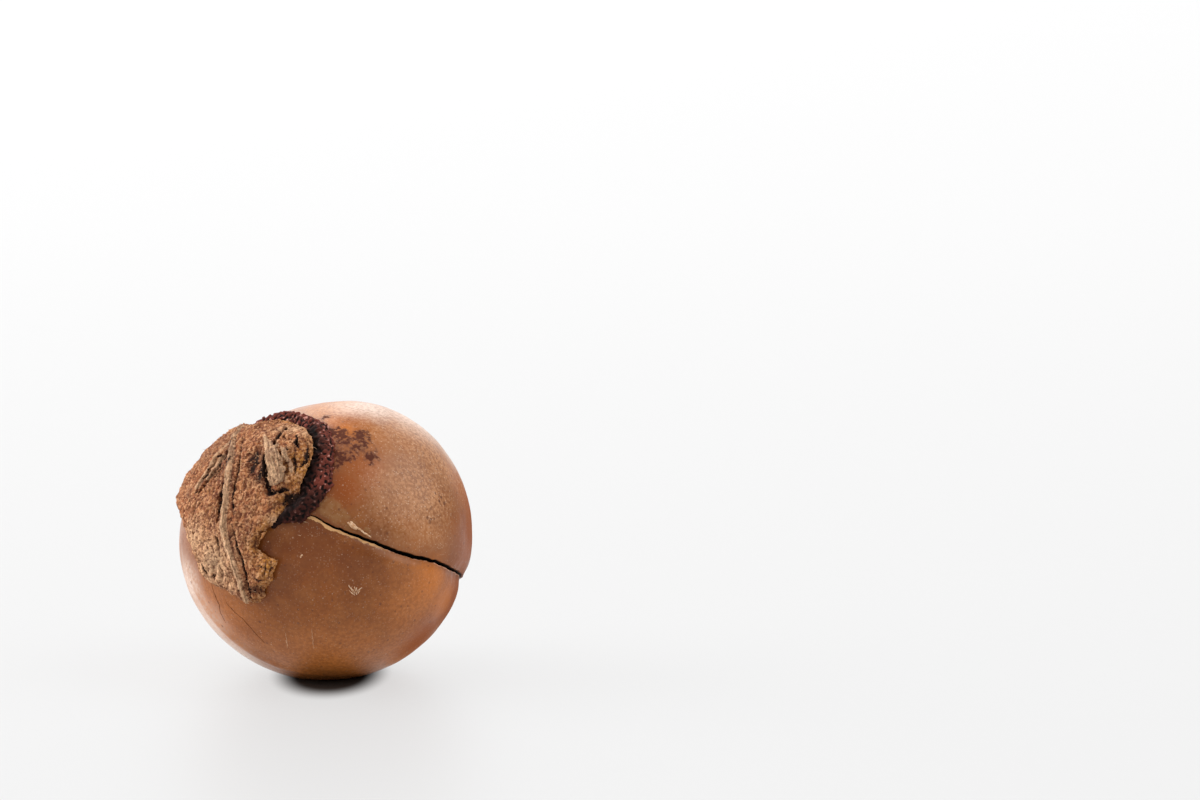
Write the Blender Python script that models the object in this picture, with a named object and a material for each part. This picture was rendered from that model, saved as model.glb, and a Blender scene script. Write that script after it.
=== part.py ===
"""A macadamia nut in its brown shell, lying on a small flat spot, in metres, +Z up.

The shell is one solid body, split part of the way round by a crack that follows its suture. Over the scar where
the nut once hung (the hilum) a torn scrap of the dry husk still clings, and beside the scrap a crescent of the
husk's dark lining. The origin is the middle of the flat spot, and the front of the nut faces -Y.
"""

import math

import bmesh
import bpy
from mathutils import Vector, noise
from mathutils.geometry import delaunay_2d_cdt

MM = 0.001

# The shell: a near sphere whose middle is SEAT_HEIGHT above the spot that it lies on.
NUT_RADIUS = 13.0 * MM
SEAT_HEIGHT = 11.85 * MM
CENTRE = Vector((0, 0, SEAT_HEIGHT))
SHELL_COLUMNS = 80
# Rows of the shell's mesh, in degrees from the suture. They lie closer together near the crack's lips.
SHELL_ROWS = (0, 1.2, 2.6, 4.4, 6.8, 10, 14, 19, 25, 32, 40, 48, 57, 66, 75, 83)

# Swells and dips of the shell: (azimuth, elevation) of the middle, height, and spread in degrees.
SWELLS = (
    ((86, 42), 0.53 * MM, 42),
    ((-60, 70), -1.20 * MM, 31),
    ((-92, 40), -0.22 * MM, 26),
    ((-92, 2), 0.16 * MM, 30),
    ((-92, -50), -0.27 * MM, 28),
    ((88, -14), -0.08 * MM, 26),
    ((88, -52), -0.20 * MM, 30),
    ((0, -88), -0.48 * MM, 34),
    ((172, 10), -0.35 * MM, 60),
)
WAVE_HEIGHT = 0.07 * MM
WAVES_ROUND_THE_NUT = 2.6

# The suture's plane: the way its normal points. Longitude 0 on it is the front of the nut.
SUTURE_NORMAL = (136.0, 66.5)
# The crack: longitude in degrees, how far it strays above the suture, and how wide it is open.
CRACK = (
    (-13, 0.52 * MM, 0.05 * MM),
    (-6, 0.37 * MM, 0.13 * MM),
    (0, 0.06 * MM, 0.20 * MM),
    (8, -0.12 * MM, 0.25 * MM),
    (18, -0.18 * MM, 0.30 * MM),
    (29, -0.33 * MM, 0.38 * MM),
    (36, -0.24 * MM, 0.38 * MM),
    (43, -0.07 * MM, 0.34 * MM),
    (50, 0.16 * MM, 0.27 * MM),
    (53, 0.10 * MM, 0.27 * MM),
    (60, 0.17 * MM, 0.25 * MM),
    (67, 0.21 * MM, 0.22 * MM),
    (74, 0.28 * MM, 0.19 * MM),
    (80, 0.36 * MM, 0.17 * MM),
    (87, 0.42 * MM, 0.15 * MM),
    (98, 0.32 * MM, 0.10 * MM),
    (114, 0.15 * MM, 0.05 * MM),
)
CRACK_STEP_DEGREES = 3
CRACK_DEPTH = 2.6 * MM
CRACK_WIDTH_AT_DEPTH = 0.45
# The groove keeps its depth until close to its ends, where it runs out to this share of it.
CRACK_END_DEPTH = 0.15
CRACK_END_SUDDENNESS = 8
BLADE_PROUD = 0.8 * MM
# The lips roll in towards the crack, most of all on the right, where the half above stands proud of the one below.
LIP_DIP = 0.32 * MM
LIP_REACH = 0.85 * MM
NOTCH_DIP = 0.26 * MM
NOTCH_REACH = 1.2 * MM
NOTCH_LONGITUDE = 88
NOTCH_SPREAD = 20
STEP_UP = 0.16 * MM
STEP_REACH = 3.0 * MM
STEP_LONGITUDE = 78
STEP_SPREAD = 34
WIDEST = max(width for _, _, width in CRACK)

# The low ridge that runs down the lower left: the normal of its plane, and where along it it fades.
RIDGE_NORMAL = (16.9, 29.6)
RIDGE_MIDDLE = (-52, -38)
RIDGE_LENGTH = 34
RIDGE_HEIGHT = 0.20 * MM
RIDGE_HALF_WIDTH = 0.50 * MM

# The unrolled map that the scrap and the lining are laid out on: a is to the right along the shell, b is up.
MAP_MIDDLE = (-31.4, 24.1)
# Clear space between pieces that touch on the real nut.
GAP = 0.15 * MM
# The grid inside an outline stays this share of its spacing clear of the edge.
EDGE_CLEARANCE = 0.45
SAME_POINT = 1e-6

# The scrap of husk: its torn outline on the map, counterclockwise from the notch in its right side.
SCRAP_OUTLINE = (
    (1.7, -3.9), (2.1, -3.0), (2.6, -2.2), (3.2, -1.6), (3.5, -0.9), (4.2, -0.1), (4.9, 0.9), (4.7, 2.1),
    (4.8, 3.3), (4.7, 4.5), (4.5, 5.5), (3.9, 6.7), (3.1, 7.7), (1.9, 8.5), (0.7, 9.0), (-0.7, 9.3),
    (-2.0, 9.2), (-3.4, 8.9), (-5.4, 9.2), (-7.4, 9.8), (-9.4, 9.3), (-11.2, 8.0), (-12.6, 6.2), (-13.2, 4.2),
    (-13.4, 2.4), (-12.6, 0.8), (-11.4, -0.2), (-9.8, -0.8), (-8.2, -1.9), (-7.0, -2.9), (-5.9, -4.2),
    (-5.2, -5.4), (-4.7, -6.3), (-3.8, -7.1), (-2.9, -7.5), (-1.7, -7.8), (-0.6, -8.1), (0.1, -8.6), (0.7, -9.0),
    (1.1, -8.6), (2.0, -8.6), (2.6, -8.1), (2.6, -7.4), (2.9, -6.9), (3.4, -6.4), (3.6, -5.6), (3.9, -4.7),
    (3.0, -4.6), (2.5, -4.3),
)
SCRAP_SPACING = 0.62
SCRAP_THICKNESS = 0.85 * MM
SCRAP_RIM = 0.34
SCRAP_RIM_REACH = 0.9
# Lumps of the scrap: (a, b) of the middle, height, and spread in millimetres on the map.
SCRAP_LUMPS = (
    ((2.2, 4.6), 1.00 * MM, 2.3),
    ((-0.4, 6.0), 0.45 * MM, 1.8),
    ((2.4, -6.2), 0.35 * MM, 1.3),
    ((-5.0, -3.2), 0.15 * MM, 2.0),
    ((0.6, 0.4), -0.20 * MM, 1.4),
    ((-2.6, 8.6), 0.40 * MM, 2.2),
)
SCRAP_ROUGHNESS = 0.16 * MM
SCRAP_GRAIN = 0.9

# Strands that stand out of the scrap: their route on the map, radius at the middle, and height over the scrap.
VEIN = (
    (-6.3, 8.6), (-5.0, 6.4), (-3.8, 4.8), (-2.9, 3.4), (-2.5, 2.2), (-2.2, 0.9), (-1.9, -0.2), (-1.6, -1.4),
    (-1.4, -2.6), (-0.9, -3.8), (-0.4, -4.8), (0.1, -5.8), (0.5, -6.8), (0.7, -7.8), (0.75, -8.6),
)
SLIT_EDGE = ((-5.6, 6.0), (-5.6, 4.7), (-5.8, 3.6), (-6.1, 2.5), (-6.4, 1.4), (-6.6, 0.6))
STRANDS = ((VEIN, 0.42 * MM, 0.22 * MM), (SLIT_EDGE, 0.28 * MM, 0.10 * MM))
STRAND_SIDES = 6
STRAND_TIP = 0.45
STRAND_SUNK = 0.5

# Cuts into the scrap: their routes on the map, each one's width at the widest, and their depth.
CUTS = (
    ((-4.9, 5.8), (-4.9, 4.5), (-5.1, 3.7), (-5.5, 2.7), (-5.8, 1.6), (-6.0, 0.6)),
    ((-0.8, -3.0), (-0.2, -4.3), (0.4, -5.5), (0.9, -6.7), (1.3, -8.0)),
    ((-2.9, 1.2), (-2.6, 0.1), (-2.4, -0.9), (-2.2, -2.0)),
    ((0.8, 4.0), (1.3, 3.0), (1.7, 2.0), (2.3, 0.8)),
    ((0.7, 7.8), (1.0, 6.8), (1.2, 6.0), (1.2, 5.2)),
    ((2.6, 6.4), (2.9, 5.9), (3.3, 5.3), (3.8, 4.7)),
)
CUT_WIDTHS = (0.50, 0.40, 0.30, 0.55, 0.30, 0.26)
CUT_DEPTH = 0.60 * MM
CUT_PROUD = 1.5 * MM
CUT_FLARE = 1.6
CUT_FLOOR = 0.25
CUT_END_WIDTH = 0.25
CUT_END_DEPTH = 0.3

# The loose splinter that lies over the lobe: corners on the map, and height of each above the scrap.
SPLINTER = (
    ((-0.3, 5.5), 0.05 * MM), ((1.2, 4.1), 0.25 * MM), ((2.1, 1.9), 0.42 * MM), ((2.6, 1.1), 0.42 * MM),
    ((3.5, 1.9), 0.36 * MM), ((3.5, 3.2), 0.14 * MM), ((2.4, 4.1), 0.26 * MM), ((0.4, 5.8), 0.05 * MM),
)
SPLINTER_THICKNESS = 0.60 * MM

# The crescent of dark lining: its outer edge on the map, from below the notch round to the top.
LINING_EDGE = (
    (2.9, -2.9), (3.7, -2.3), (4.3, -1.8), (5.2, -1.4), (5.9, -0.6), (6.5, 0.5), (6.9, 1.6), (7.1, 2.9),
    (6.8, 4.3), (6.4, 5.8), (5.7, 7.3), (4.8, 8.7), (3.5, 9.8), (2.0, 10.6), (0.2, 11.1), (-1.8, 11.1),
    (-3.8, 10.5), (-5.6, 9.9),
)
# Its inner edge follows the scrap's outline from one of its points to another, at LINING_CLEARANCE millimetres.
LINING_FIRST = 2
LINING_LAST = 18
LINING_CLEARANCE = 0.24
LINING_SPACING = 0.55
LINING_THICKNESS = 0.50 * MM
LINING_THIN_EDGE = 0.45
LINING_THIN_REACH = 0.4
LINING_GRAIN = 1.6
LINING_ROUGHNESS = 0.14 * MM
LINING_SEED = 5
# The raised rim near the crescent's outer edge.
RIM_INSET = 0.95
RIM_SPREAD = 0.50
RIM_HEIGHT = 0.32 * MM
# The lining is thickest behind the scrap's upper end.
THICK_SPOT = (-1.6, 10.3)
THICK_SPOT_SPREAD = 2.4
THICK_SPOT_HEIGHT = 0.32 * MM

# Colour and roughness of each piece.
SHELL_FINISH = ((0.32, 0.13, 0.055), 0.35)
SCRAP_FINISH = ((0.36, 0.20, 0.11), 0.9)
LINING_FINISH = ((0.07, 0.025, 0.02), 0.8)
SHARP_EDGE_DEGREES = 40


def way(azimuth, elevation):
    """The unit vector for an azimuth, 0 at the front and 90 at the right, and an elevation, in degrees."""
    a, e = math.radians(azimuth), math.radians(elevation)
    return Vector((math.sin(a) * math.cos(e), -math.cos(a) * math.cos(e), math.sin(e)))


def table_at(table, x):
    """The values of a table's row at x, in a straight line between the rows on either side."""
    for low, high in zip(table, table[1:]):
        if x <= high[0]:
            share = max(0.0, (x - low[0]) / (high[0] - low[0]))
            return [p + (q - p) * share for p, q in zip(low[1:], high[1:])]
    return list(table[-1][1:])


SUTURE_UP = way(*SUTURE_NORMAL)
SUTURE_FRONT = (way(0, 0) - SUTURE_UP * way(0, 0).dot(SUTURE_UP)).normalized()
SUTURE_RIGHT = SUTURE_FRONT.cross(-SUTURE_UP)

MAP_OUT = way(*MAP_MIDDLE)
MAP_RIGHT = Vector((0, 0, 1)).cross(MAP_OUT).normalized()
MAP_UP = MAP_OUT.cross(MAP_RIGHT)


def suture_place(out):
    """(longitude in degrees, distance above the suture) of a way out from the nut's middle."""
    longitude = math.degrees(math.atan2(out.dot(SUTURE_RIGHT), out.dot(SUTURE_FRONT)))
    return longitude, NUT_RADIUS * math.asin(max(-1.0, min(1.0, out.dot(SUTURE_UP))))


def suture_way(longitude, height):
    """The way out to a longitude in degrees and a distance above the suture."""
    lon, lat = math.radians(longitude), height / NUT_RADIUS
    round_it = SUTURE_FRONT * math.cos(lon) + SUTURE_RIGHT * math.sin(lon)
    return round_it * math.cos(lat) + SUTURE_UP * math.sin(lat)


def bell(distance, spread):
    return math.exp(-((distance / spread) ** 2))


def lip_relief(out):
    """How the shell rolls in at the crack's lips and steps up above it."""
    longitude, height = suture_place(out)
    if not CRACK[0][0] < longitude < CRACK[-1][0]:
        return 0.0
    drift, width = table_at(CRACK, longitude)
    off = height - drift
    dip = -LIP_DIP * width / WIDEST * bell(off, LIP_REACH)
    dip -= NOTCH_DIP * bell(longitude - NOTCH_LONGITUDE, NOTCH_SPREAD) * bell(off, NOTCH_REACH)
    step = STEP_UP * bell(longitude - STEP_LONGITUDE, STEP_SPREAD) * math.exp(-abs(off) / STEP_REACH)
    return dip + math.copysign(step, off)


def ridge_relief(out):
    """The low ridge on the lower left, at the foot of the shell."""
    off = NUT_RADIUS * math.asin(out.dot(way(*RIDGE_NORMAL)))
    along = math.degrees(out.angle(way(*RIDGE_MIDDLE)))
    return RIDGE_HEIGHT * bell(off, RIDGE_HALF_WIDTH) * bell(along, RIDGE_LENGTH)


def shell_radius(out):
    swells = sum(
        height * bell(math.degrees(out.angle(way(*middle))), spread) for middle, height, spread in SWELLS
    )
    waves = WAVE_HEIGHT * noise.noise(out * WAVES_ROUND_THE_NUT)
    return NUT_RADIUS + swells + waves + lip_relief(out) + ridge_relief(out)


def shell_point(out, lift=0.0):
    """The point over the shell's surface in the way out, raised by lift."""
    return CENTRE + out * (shell_radius(out) + lift)


def map_way(a, b):
    """The way out to a point of the unrolled map, given in millimetres along the shell."""
    reach = math.hypot(a, b)
    if reach == 0:
        return MAP_OUT.copy()
    turn = reach * MM / NUT_RADIUS
    side = (MAP_RIGHT * a + MAP_UP * b) / reach
    return MAP_OUT * math.cos(turn) + side * math.sin(turn)


def material(name, colour, roughness):
    made = bpy.data.materials.new(name)
    made.use_nodes = True
    shader = made.node_tree.nodes["Principled BSDF"]
    shader.inputs["Base Color"].default_value = (*colour, 1)
    shader.inputs["Roughness"].default_value = roughness
    shader.inputs["Metallic"].default_value = 0
    return made


def add_object(name, bm):
    bmesh.ops.recalc_face_normals(bm, faces=bm.faces)
    mesh = bpy.data.meshes.new(name)
    bm.to_mesh(mesh)
    bm.free()
    made = bpy.data.objects.new(name, mesh)
    bpy.context.scene.collection.objects.link(made)
    return made


def helper(made):
    """Keeps a cutter or a piece to be joined out of the model itself."""
    made.hide_render = True
    made.display_type = "WIRE"
    return made


def boolean(target, operation, other):
    modifier = target.modifiers.new(f"{operation.lower()} {other.name}", "BOOLEAN")
    modifier.operation = operation
    modifier.object = other
    modifier.solver = "EXACT"


def tube(bm, rings):
    """Skins a row of rings, each with the same number of points, and closes both ends."""
    rows = [[bm.verts.new(point) for point in ring] for ring in rings]
    count = len(rows[0])
    for low, high in zip(rows, rows[1:]):
        for i in range(count):
            bm.faces.new((low[i], low[(i + 1) % count], high[(i + 1) % count], high[i]))
    bm.faces.new(rows[0])
    bm.faces.new(rows[-1])


def shell_body():
    """The nut's body: rows on either side of the suture, skinned, then cut off flat where it lies."""
    bm = bmesh.new()
    spots = sorted({sign * row for row in SHELL_ROWS for sign in (1, -1)})
    rows = []
    for degrees in spots:
        height = NUT_RADIUS * math.radians(degrees)
        ring = []
        for i in range(SHELL_COLUMNS):
            longitude = 360 * i / SHELL_COLUMNS - 180
            ring.append(bm.verts.new(shell_point(suture_way(longitude, height))))
        rows.append(ring)
    for low, high in zip(rows, rows[1:]):
        for i in range(SHELL_COLUMNS):
            j = (i + 1) % SHELL_COLUMNS
            bm.faces.new((low[i], low[j], high[j], high[i]))
    for ring, pole in ((rows[0], -SUTURE_UP), (rows[-1], SUTURE_UP)):
        top = bm.verts.new(shell_point(pole))
        for i in range(SHELL_COLUMNS):
            bm.faces.new((ring[i], ring[(i + 1) % SHELL_COLUMNS], top))
    everything = bm.verts[:] + bm.edges[:] + bm.faces[:]
    cut = bmesh.ops.bisect_plane(bm, geom=everything, plane_no=(0, 0, -1), clear_outer=True)
    rim = [item for item in cut["geom_cut"] if isinstance(item, bmesh.types.BMEdge)]
    bmesh.ops.edgeloop_fill(bm, edges=rim)
    return add_object("nut_shell", bm)


def crack_blade():
    """The sliver that the crack is cut with: wide at the surface, narrow at its depth."""
    bm = bmesh.new()
    rings = []
    steps = round((CRACK[-1][0] - CRACK[0][0]) / CRACK_STEP_DEGREES)
    for i in range(steps + 1):
        longitude = CRACK[0][0] + (CRACK[-1][0] - CRACK[0][0]) * i / steps
        drift, width = table_at(CRACK, longitude)
        from_end = 1 - abs(2 * i / steps - 1) ** CRACK_END_SUDDENNESS
        floor = -CRACK_DEPTH * max(from_end, CRACK_END_DEPTH)
        ring = []
        for lift, share, side in (
            (BLADE_PROUD, 1, 1),
            (BLADE_PROUD, 1, -1),
            (floor, CRACK_WIDTH_AT_DEPTH, -1),
            (floor, CRACK_WIDTH_AT_DEPTH, 1),
        ):
            out = suture_way(longitude, drift + side * share * width / 2)
            ring.append(shell_point(out, lift))
        rings.append(ring)
    tube(bm, rings)
    return helper(add_object("crack_blade", bm))


def edge_distance(a, b, outline):
    """How far (a, b) is from the nearest side of an outline, in millimetres on the map."""
    nearest = math.inf
    for (x0, y0), (x1, y1) in zip(outline, outline[1:] + outline[:1]):
        dx, dy = x1 - x0, y1 - y0
        share = ((a - x0) * dx + (b - y0) * dy) / (dx * dx + dy * dy)
        share = max(0.0, min(1.0, share))
        nearest = min(nearest, math.hypot(a - x0 - share * dx, b - y0 - share * dy))
    return nearest


def inside(a, b, outline):
    crossings = 0
    for (x0, y0), (x1, y1) in zip(outline, outline[1:] + outline[:1]):
        if (y0 > b) != (y1 > b) and a < x0 + (b - y0) * (x1 - x0) / (y1 - y0):
            crossings += 1
    return crossings % 2 == 1


def filled_outline(outline, spacing):
    """The outline filled with triangles whose inner corners lie on a grid of staggered rows."""
    points = [Vector(p) for p in outline]
    low_a, high_a = min(p[0] for p in outline), max(p[0] for p in outline)
    low_b, high_b = min(p[1] for p in outline), max(p[1] for p in outline)
    rows = int((high_b - low_b) / (spacing * math.sqrt(3) / 2)) + 1
    for j in range(rows):
        b = low_b + j * spacing * math.sqrt(3) / 2
        for i in range(int((high_a - low_a) / spacing) + 2):
            a = low_a + (i + 0.5 * (j % 2)) * spacing
            if inside(a, b, outline) and edge_distance(a, b, outline) > EDGE_CLEARANCE * spacing:
                points.append(Vector((a, b)))
    edges = [(i, (i + 1) % len(outline)) for i in range(len(outline))]
    spots, _, faces, _, _, _ = delaunay_2d_cdt(points, edges, [], 1, SAME_POINT)
    return spots, faces


def draped_sheet(name, outline, spacing, height_at):
    """A solid that covers an outline of the map: GAP over the shell below, and height_at(a, b) on top."""
    spots, faces = filled_outline(outline, spacing)
    bm = bmesh.new()
    floor, roof = [], []
    for spot in spots:
        out = map_way(*spot)
        floor.append(bm.verts.new(shell_point(out, GAP)))
        roof.append(bm.verts.new(shell_point(out, GAP + height_at(*spot))))
    sides = {}
    for face in faces:
        bm.faces.new([roof[i] for i in face])
        bm.faces.new([floor[i] for i in reversed(face)])
        for pair in zip(face, face[1:] + face[:1]):
            sides[pair] = sides.get(pair, 0) + 1
    for i, j in sides:
        if (j, i) not in sides:
            bm.faces.new((roof[j], roof[i], floor[i], floor[j]))
    return add_object(name, bm)


def scrap_height(a, b):
    """Height of the scrap's top over its underside: thin at the torn rim, with lumps and a rough grain."""
    rim = min(1.0, edge_distance(a, b, list(SCRAP_OUTLINE)) / SCRAP_RIM_REACH)
    lumps = sum(height * bell(math.dist((a, b), middle), spread) for middle, height, spread in SCRAP_LUMPS)
    rough = SCRAP_ROUGHNESS * noise.noise(Vector((a, b, 0)) * SCRAP_GRAIN)
    full = SCRAP_THICKNESS + lumps
    return full * (SCRAP_RIM + (1 - SCRAP_RIM) * math.sqrt(rim * (2 - rim))) + rough * rim


def on_scrap(a, b, lift=0.0):
    """The point over the scrap's top at (a, b), raised by lift."""
    return shell_point(map_way(a, b), GAP + scrap_height(a, b) + lift)


def strand(name, route, radius, lift):
    """A round strand along a route, sunk into the scrap and thinner at its ends."""
    bm = bmesh.new()
    points = [on_scrap(a, b, lift - STRAND_SUNK * radius) for a, b in route]
    rings = []
    for i, point in enumerate(points):
        along = (points[min(i + 1, len(points) - 1)] - points[max(i - 1, 0)]).normalized()
        out = (point - CENTRE).normalized()
        side = along.cross(out).normalized()
        share = i / (len(points) - 1)
        size = radius * (STRAND_TIP + (1 - STRAND_TIP) * math.sqrt(math.sin(math.pi * share)))
        ring = []
        for k in range(STRAND_SIDES):
            turn = 2 * math.pi * k / STRAND_SIDES
            ring.append(point + (side * math.cos(turn) + out * math.sin(turn)) * size)
        rings.append(ring)
    tube(bm, rings)
    return helper(add_object(name, bm))


def crevice(name, route, width):
    """The wedge that a crevice is cut with: open at the top and sharp at the bottom, pointed at both ends."""
    bm = bmesh.new()
    rings = []
    last = len(route) - 1
    for i, (a, b) in enumerate(route):
        before, after = route[max(i - 1, 0)], route[min(i + 1, last)]
        da, db = after[0] - before[0], after[1] - before[1]
        size = math.hypot(da, db)
        swell = math.sin(math.pi * i / last)
        half = width / 2 * (CUT_END_WIDTH + (1 - CUT_END_WIDTH) * swell)
        floor = -CUT_DEPTH * (CUT_END_DEPTH + (1 - CUT_END_DEPTH) * swell)
        top = GAP + scrap_height(a, b)
        ring = []
        mouth, root = (CUT_FLARE, CUT_PROUD), (CUT_FLOOR, floor)
        for sign, (spread, lift) in ((1, mouth), (-1, mouth), (-1, root), (1, root)):
            step = sign * spread * half / size
            ring.append(shell_point(map_way(a - step * db, b + step * da), top + lift))
        rings.append(ring)
    tube(bm, rings)
    return helper(add_object(name, bm))


def splinter():
    """The flat splinter over the lobe: its corners stand a little clear and its root is sunk in."""
    bm = bmesh.new()
    top = [on_scrap(*corner, lift) for corner, lift in SPLINTER]
    root = [on_scrap(*corner, lift - SPLINTER_THICKNESS) for corner, lift in SPLINTER]
    tube(bm, [root, top])
    bmesh.ops.triangulate(bm, faces=bm.faces)
    return helper(add_object("splinter", bm))


def husk_scrap():
    scrap = draped_sheet("husk_scrap", SCRAP_OUTLINE, SCRAP_SPACING, scrap_height)
    boolean(scrap, "UNION", splinter())
    for number, (route, radius, lift) in enumerate(STRANDS):
        boolean(scrap, "UNION", strand(f"strand_{number}", route, radius, lift))
    for number, (route, width) in enumerate(zip(CUTS, CUT_WIDTHS)):
        boolean(scrap, "DIFFERENCE", crevice(f"crevice_{number}", route, width))
    return scrap


def lining_outline():
    """The crescent's outline: its outer edge, then back along the scrap's edge, clear of it."""
    inner = []
    for i in range(LINING_FIRST + 1, LINING_LAST):
        before, here, after = SCRAP_OUTLINE[i - 1 : i + 2]
        da, db = after[0] - before[0], after[1] - before[1]
        step = LINING_CLEARANCE / math.hypot(da, db)
        inner.append((here[0] + db * step, here[1] - da * step))
    return list(LINING_EDGE) + inner[::-1]


def lining_height(a, b):
    """Height of the lining's top: a grainy crust with a raised rim near its outer edge."""
    inset = edge_distance(a, b, list(LINING_EDGE))
    full = min(1.0, edge_distance(a, b, lining_outline()) / LINING_THIN_REACH)
    rim = RIM_HEIGHT * bell(inset - RIM_INSET, RIM_SPREAD)
    grain = LINING_ROUGHNESS * noise.noise(Vector((a, b, LINING_SEED)) * LINING_GRAIN)
    thick = THICK_SPOT_HEIGHT * bell(math.dist((a, b), THICK_SPOT), THICK_SPOT_SPREAD)
    return LINING_THICKNESS * (LINING_THIN_EDGE + (1 - LINING_THIN_EDGE) * full) + (rim + grain + thick) * full


def build():
    for old in list(bpy.data.objects):
        bpy.data.objects.remove(old)
    shell = shell_body()
    boolean(shell, "DIFFERENCE", crack_blade())
    scrap = husk_scrap()
    lining = draped_sheet("husk_lining", lining_outline(), LINING_SPACING, lining_height)
    for piece, finish in ((shell, SHELL_FINISH), (scrap, SCRAP_FINISH), (lining, LINING_FINISH)):
        piece.data.materials.append(material(piece.name, *finish))
        piece.data.shade_smooth()
        piece.data.set_sharp_from_angle(angle=math.radians(SHARP_EDGE_DEGREES))


build()
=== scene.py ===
import math

import bmesh
import bpy
import numpy as np
from mathutils import Euler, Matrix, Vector, noise


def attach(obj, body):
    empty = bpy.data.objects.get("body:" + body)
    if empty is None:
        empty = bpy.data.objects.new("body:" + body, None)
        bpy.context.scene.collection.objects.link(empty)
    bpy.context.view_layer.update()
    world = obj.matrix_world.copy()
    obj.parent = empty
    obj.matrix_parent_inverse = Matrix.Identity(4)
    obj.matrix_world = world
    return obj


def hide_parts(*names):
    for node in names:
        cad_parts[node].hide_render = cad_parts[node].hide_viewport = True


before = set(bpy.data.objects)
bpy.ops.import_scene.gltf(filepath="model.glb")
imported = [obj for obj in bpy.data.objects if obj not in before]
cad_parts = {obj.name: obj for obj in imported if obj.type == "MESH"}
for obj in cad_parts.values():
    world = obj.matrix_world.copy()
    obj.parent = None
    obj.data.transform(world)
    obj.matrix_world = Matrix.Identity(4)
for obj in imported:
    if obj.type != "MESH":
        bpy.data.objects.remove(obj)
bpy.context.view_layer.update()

# The nutshell
# One hard, woody, slightly lopsided ball that grew as one piece. It lies on a small flat spot, and as it dried it
# split along its suture, a third of the way round. Its skin is polished brown, with freckles, dust and a dull bloom.
# Its colour also holds painted sheen on its top and rims, and painted light low on it.
MM = 0.001
NUT_RADIUS = 13.0
SEAT_HEIGHT = 11.85
SWELLS = (
    ((86, 42), 0.53, 42),
    ((-60, 70), -1.20, 31),
    ((-92, 40), -0.22, 26),
    ((-92, 2), 0.16, 30),
    ((-92, -50), -0.27, 28),
    ((88, -14), -0.08, 26),
    ((88, -52), -0.20, 30),
    ((0, -88), -0.48, 34),
    ((172, 10), -0.35, 60),
)
WAVE_HEIGHT = 0.07
WAVES_ROUND_THE_NUT = 2.6
SEAT_EDGE = 0.12


def way(azimuth, elevation):
    """The unit vector for an azimuth and an elevation in degrees: 0, 0 is the front and 90, 0 the right."""
    a, e = math.radians(azimuth), math.radians(elevation)
    return Vector((math.sin(a) * math.cos(e), -math.cos(a) * math.cos(e), math.sin(e)))


class Value:
    """A value that nodes work out, to reckon with as with a number."""

    def __init__(self, tree, socket):
        self.tree, self.socket = tree, socket

    def calc(self, operation, *others):
        return put(self.tree, "ShaderNodeMath", self, *others, operation=operation)

    def vector(self, operation, *others):
        made = wire(self.tree, "ShaderNodeVectorMath", self, *others, operation=operation)
        return Value(self.tree, made.outputs[1 if operation in ("DOT_PRODUCT", "DISTANCE", "LENGTH") else 0])

    def parts(self):
        """Its x, y and z, or its red, green and blue."""
        return [Value(self.tree, socket) for socket in wire(self.tree, "ShaderNodeSeparateXYZ", self).outputs]

    def rise(self, low, high, least=0.0, most=1.0):
        """Eased from least to most as it goes from low to high."""
        return put(self.tree, "ShaderNodeMapRange", self, low, high, least, most, interpolation_type="SMOOTHSTEP")

    def to(self, socket):
        self.tree.links.new(self.socket, socket)

    def __add__(self, other):
        return self.calc("ADD", other)

    def __sub__(self, other):
        return self.calc("SUBTRACT", other)

    def __rsub__(self, other):
        return self * -1.0 + other

    def __mul__(self, other):
        return self.calc("MULTIPLY", other)

    def __truediv__(self, other):
        return self.calc("DIVIDE", other)

    __radd__, __rmul__ = __add__, __mul__


def feed(sockets, values):
    """Links or sets each socket; None leaves one alone."""
    for socket, value in zip(sockets, values):
        if isinstance(value, Value):
            value.to(socket)
        elif value is not None:
            socket.default_value = value


def wire(tree, kind, *values, **settings):
    """Adds a node: settings are its own properties, and values feed its inputs in order."""
    made = tree.nodes.new(kind)
    for name, value in settings.items():
        setattr(made, name, value)
    feed(made.inputs, values)
    return made


def put(tree, kind, *values, **settings):
    """Adds a node and returns what its first output gives."""
    return Value(tree, wire(tree, kind, *values, **settings).outputs[0])



def new_tree(name, kind, inputs, outputs):
    """An empty node group, with the values that its named inputs give and the sockets of its outputs. Each input or
    output is given by its sort, or by the number that it holds."""
    tree = bpy.data.node_groups.new(name, kind)
    for direction, sockets in (("INPUT", inputs), ("OUTPUT", outputs)):
        for label, holds in sockets.items():
            sort = holds if isinstance(holds, str) else "Int" if isinstance(holds, int) else "Float"
            made = tree.interface.new_socket(label, in_out=direction, socket_type=f"NodeSocket{sort}")
            if holds != sort:
                made.default_value = holds
    given = {socket.name: Value(tree, socket) for socket in tree.nodes.new("NodeGroupInput").outputs}
    return tree, given, tree.nodes.new("NodeGroupOutput").inputs


def uneven(spot, scale, detail, roughness=None):
    """Smooth noise, from 0 to 1."""
    return put(spot.tree, "ShaderNodeTexNoise", spot, None, scale, detail, roughness)


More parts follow.
